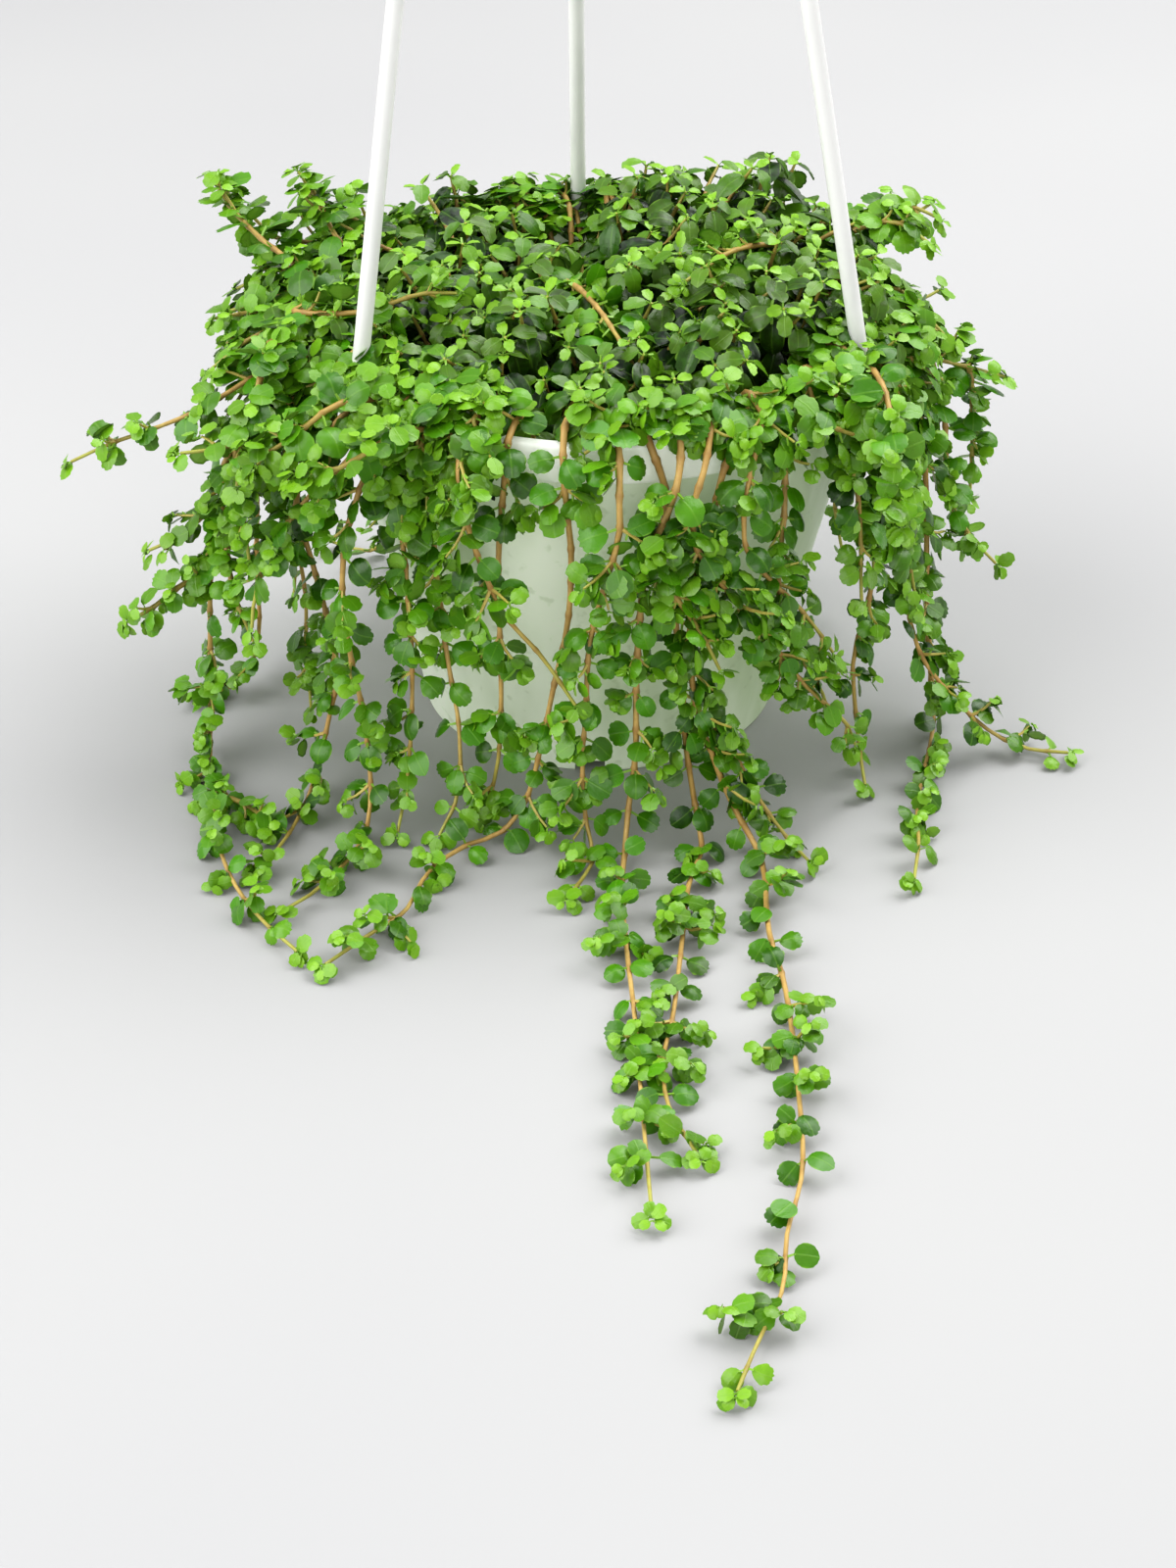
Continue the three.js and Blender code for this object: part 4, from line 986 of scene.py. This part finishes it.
def merge_close(mesh):
    """Closes the poles of a lathed body and turns its faces outward"""
    made = bmesh.new()
    made.from_mesh(mesh)
    bmesh.ops.remove_doubles(made, verts=made.verts, dist=1e-6)
    bmesh.ops.dissolve_degenerate(made, edges=made.edges, dist=1e-7)
    bmesh.ops.recalc_face_normals(made, faces=made.faces)
    made.to_mesh(mesh)
    made.free()


def rounded(corners, radius, steps=3):
    """A section whose corners are rounded: points as [radius, height] pairs"""
    corners = [np.asarray(c, float) for c in corners]
    points = []
    for before, corner, after in zip(corners[-1:] + corners[:-1], corners, corners[1:] + corners[:1]):
        if corner[0] < 0.01:
            points.append(corner)
            continue
        reach = min(radius, 0.45 * np.linalg.norm(before - corner), 0.45 * np.linalg.norm(after - corner))
        a, b = corner + reach * unit(before - corner), corner + reach * unit(after - corner)
        for k in range(steps + 1):
            t = k / steps
            points.append((1 - t) ** 2 * a + 2 * t * (1 - t) * corner + t**2 * b)
    return points


def joined(name, first, others, operation):
    """The first mesh with every other one joined to it or cut from it"""
    base = added(name, first)
    tools = [added(f"{name}_tool_{k}", mesh) for k, mesh in enumerate(others)]
    for tool in tools:
        cut = base.modifiers.new("cut", "BOOLEAN")
        cut.operation, cut.solver, cut.object = operation, "EXACT", tool
    made = bpy.data.meshes.new_from_object(base.evaluated_get(bpy.context.evaluated_depsgraph_get()))
    for spare in (base, *tools):
        bpy.data.objects.remove(spare)
    made.name = name
    return made


def moved(mesh, x, y, z, turn=0.0):
    mesh.transform(Matrix.Translation(Vector((x, y, z)) * METRES) @ Matrix.Rotation(turn, 4, "Z"))
    return mesh


def peg(radius, low, high, bevel):
    """A round bar about +Z with rounded ends"""
    return lathe_mesh("peg", rounded([(0, low), (radius, low), (radius, high), (0, high)], bevel), 32)


def box_mesh(name, *sizes):
    corners = list(itertools.product(*[(-size / 2, size / 2) for size in sizes]))
    faces = [(0, 1, 3, 2), (4, 6, 7, 5), (0, 4, 5, 1), (2, 3, 7, 6), (0, 2, 6, 4), (1, 5, 7, 3)]
    return mesh_from(name, corners, faces)


def pot():
    inside = [(radius - WALL, height) for radius, height in (WALL_PROFILE[k] for k in (5, 3, 2))]
    section = [
        (0, 0), *WALL_PROFILE, (RIM_RADIUS - 0.3, POT_HEIGHT - BAND_HEIGHT), (RIM_RADIUS, POT_HEIGHT - 1),
        (RIM_RADIUS - 1, POT_HEIGHT), (RIM_RADIUS - WALL - 1.4, POT_HEIGHT), *inside,
        (BASE_RADIUS - WALL + 0.3, WALL), (0, WALL),
    ]
    body = lathe_mesh("pot_body", rounded(section, 1.1), 144)
    ears = []
    for angle in ROD_ANGLES.values():
        x, y, _ = polar(ROD["foot"], angle)
        ears.append(moved(peg(EAR["radius"], 0, EAR["height"], 0.8), x, y, EAR["top"] - EAR["height"]))
    body = joined("pot_with_ears", body, ears, "UNION")
    slots = []
    for k in range(SLOT["count"]):
        turn = math.radians(SLOT["first_angle"] + 360 * k / SLOT["count"])
        x, y, _ = polar(BASE_RADIUS, math.degrees(turn))
        slot = box_mesh("slot", SLOT["depth"], SLOT["width"], 2 * SLOT["height"])
        slots.append(moved(slot, x, y, 0, turn))
    body = joined("pot_shell", body, slots, "DIFFERENCE")
    body.materials.append(pot_finish())
    sharpen(placed("pot_shell", body, ["pot"]))


def sharpen(piece, degrees=38):
    """Smooth faces with their true corners kept sharp"""
    piece.data.shade_smooth()
    piece.data.set_sharp_from_angle(angle=math.radians(degrees))


# The soil, and the waves that make its crumbs: how many, and the least and most of their pitch, direction,
# start and height
SOIL = {"radius": 73.4, "foot": BASE_RADIUS - WALL - 1, "clear": 0.6, "swell": 2.2}
SOIL_RINGS = 26
SOIL_SIDES = 110
SOIL_WAVES = 26
SOIL_WAVE = [(0.05, 0.6), (0, 2 * math.pi), (0, 6.28), (0.2, 0.7)]


def soil():
    """A crumbly surface inside the pot, closed below"""
    rng = np.random.default_rng(SEEDS["soil"])
    rings, sides = SOIL_RINGS, SOIL_SIDES
    top, foot = SOIL_TOP - SOIL["clear"], WALL + SOIL["clear"]
    waves = [[rng.uniform(*limits) for limits in SOIL_WAVE] for _ in range(SOIL_WAVES)]
    rows = []
    for i in range(1, rings + 1):
        r = SOIL["radius"] * i / rings
        for k in range(sides):
            turn = 2 * math.pi * k / sides
            x, y = r * math.cos(turn), r * math.sin(turn)
            z = sum(a * math.sin(f * (x * math.cos(d) + y * math.sin(d)) + p) for f, d, p, a in waves) * 0.5
            rows.append((x, y, top + np.clip(z, -SOIL["swell"], SOIL["swell"]) + rng.uniform(-0.3, 0.3)))
    rows += [(0, 0, top), (0, 0, foot)]
    bottom = len(rows)
    rows += [polar(SOIL["foot"], 360 * k / sides, foot) for k in range(sides)]
    faces = []
    for i in range(rings - 1):
        for k in range(sides):
            a, b = i * sides + k, i * sides + (k + 1) % sides
            faces += [(a, a + sides, b + sides), (a, b + sides, b)]
    centre, under = rings * sides, rings * sides + 1
    last = (rings - 1) * sides
    for k in range(sides):
        n = (k + 1) % sides
        faces += [(centre, k, n), (last + k, bottom + k, bottom + n)]
        faces += [(last + k, bottom + n, last + n), (under, bottom + n, bottom + k)]
    mesh = mesh_from("potting_mix", rows, faces)
    mesh.materials.append(soil_finish())
    placed("potting_mix", mesh, ["soil"])


def hanger():
    material = hanger_finish()
    for name, angle in ROD_ANGLES.items():
        foot = polar(ROD["foot"], angle, EAR["top"] + COLLAR["height"] / 2)
        head = polar(CROWN["ring"], angle, CROWN["z"] + CROWN["socket"])
        head += np.array([CROWN["x"], CROWN["y"], 0])
        middle = foot + ROD["bow_at"] * (head - foot) + polar(ROD["bow"], angle)
        route = Route([foot, middle, head])
        rod = Foliage()
        rings = ROD["rings"]
        points = route.at(np.linspace(0, route.length, rings))
        rod.tube(points, np.full(rings, ROD["radius"]), ROD["sides"], np.ones((rings, 4)), 0)
        seat = EAR["top"] + GAP
        collar = peg(COLLAR["radius"], seat, seat + COLLAR["height"], 0.5)
        pin = peg(PIN["radius"], seat - PIN["length"], seat + 0.5, 0.3)
        rod.meshes += [triangles_of(moved(part, foot[0], foot[1], 0)) for part in (collar, pin)]
        rod_piece(rod, "hanger_rod_" + name + "_smooth", material, ["hanger_rod_" + name])
    crown = Foliage()
    x, y, z, radius, brim, neck, height = (
        CROWN[key] for key in ("x", "y", "z", "radius", "brim", "neck", "height")
    )
    section = rounded([(0, 0), (radius, 0), (radius, brim), (neck, height), (0, height)], 2.2, 5)
    crown.meshes.append(triangles_of(moved(lathe_mesh("hub", section, 72), x, y, z)))
    wire, bend = HOOK["wire"], HOOK["bend"]
    foot = z + height - 3
    points = [(x, y, foot)]
    for turn in np.radians(np.linspace(180, HOOK["mouth"], HOOK["points"])):
        points.append((x + bend * (1 + math.cos(turn)), y, foot + HOOK["shank"] + bend * math.sin(turn)))
    route = Route(points)
    body = np.linspace(0, route.length - wire, 60)
    round_end = route.length - wire + wire * np.sin(np.linspace(0.2, 1.5, 6))
    stations = np.concatenate([body, round_end])
    ends = np.clip((route.length - stations) / wire, 0, 1)
    radii = wire * np.sqrt(np.clip(1 - (1 - ends) ** 2, 0.02, 1))
    crown.tube(route.at(stations), radii, HOOK["sides"], np.ones((len(stations), 4)), 0)
    rod_piece(crown, "hanger_crown_smooth", material, ["hanger_crown"])


def triangles_of(mesh):
    """A mesh's points in millimetres and its triangles, for a piece that gathers several bodies"""
    mesh.calc_loop_triangles()
    rows = np.array([v.co for v in mesh.vertices]) / METRES
    faces = np.array([t.vertices for t in mesh.loop_triangles])
    return rows, faces, np.ones((len(rows), 4)), 0


def rod_piece(parts, name, material, replaced):
    rows, faces, _, _ = gathered(parts.meshes)
    mesh = mesh_from(name, rows, faces)
    mesh.materials.append(material)
    sharpen(placed(name, mesh, replaced), 45)


def studio():
    """Camera, floor and lights"""
    scene = bpy.context.scene
    camera = bpy.data.cameras.new("camera")
    camera.lens, camera.sensor_width, camera.clip_end = CAMERA["lens"], CAMERA["sensor"], CAMERA["reach"]
    scene.camera = added("camera", camera)
    scene.camera.location = CAMERA["place"]
    scene.camera.rotation_euler = (math.radians(CAMERA["pitch"]), 0, 0)

    floor = added("floor", box_mesh("floor", FLOOR["side"], FLOOR["side"], FLOOR["thick"]))
    floor.location.z = -METRES * FLOOR["thick"] / 2
    floor.data.materials.append(floor_finish())

    for name, place, aim, size, power in LIGHTS:
        lamp = bpy.data.lights.new(name, "AREA")
        lamp.shape, lamp.size, lamp.energy = "DISK", size, power
        light = added(name, lamp)
        light.location = place
        light.rotation_euler = (Vector(aim) - Vector(place)).to_track_quat("-Z", "Y").to_euler()
    scene.world = bpy.data.worlds.new("studio")
    scene.world.use_nodes = True
    background = scene.world.node_tree.nodes["Background"].inputs
    background["Color"].default_value = (1, 1, 1, 1)
    background["Strength"].default_value = SURROUND_LIGHT
    # The contrast matches the photograph's, which was raised
    scene.view_settings.view_transform = "Standard"
    scene.view_settings.look = "Medium High Contrast"


studio()
pot()
soil()
hanger()
trailing_stems()
mound()
mound_runners()
skirts()
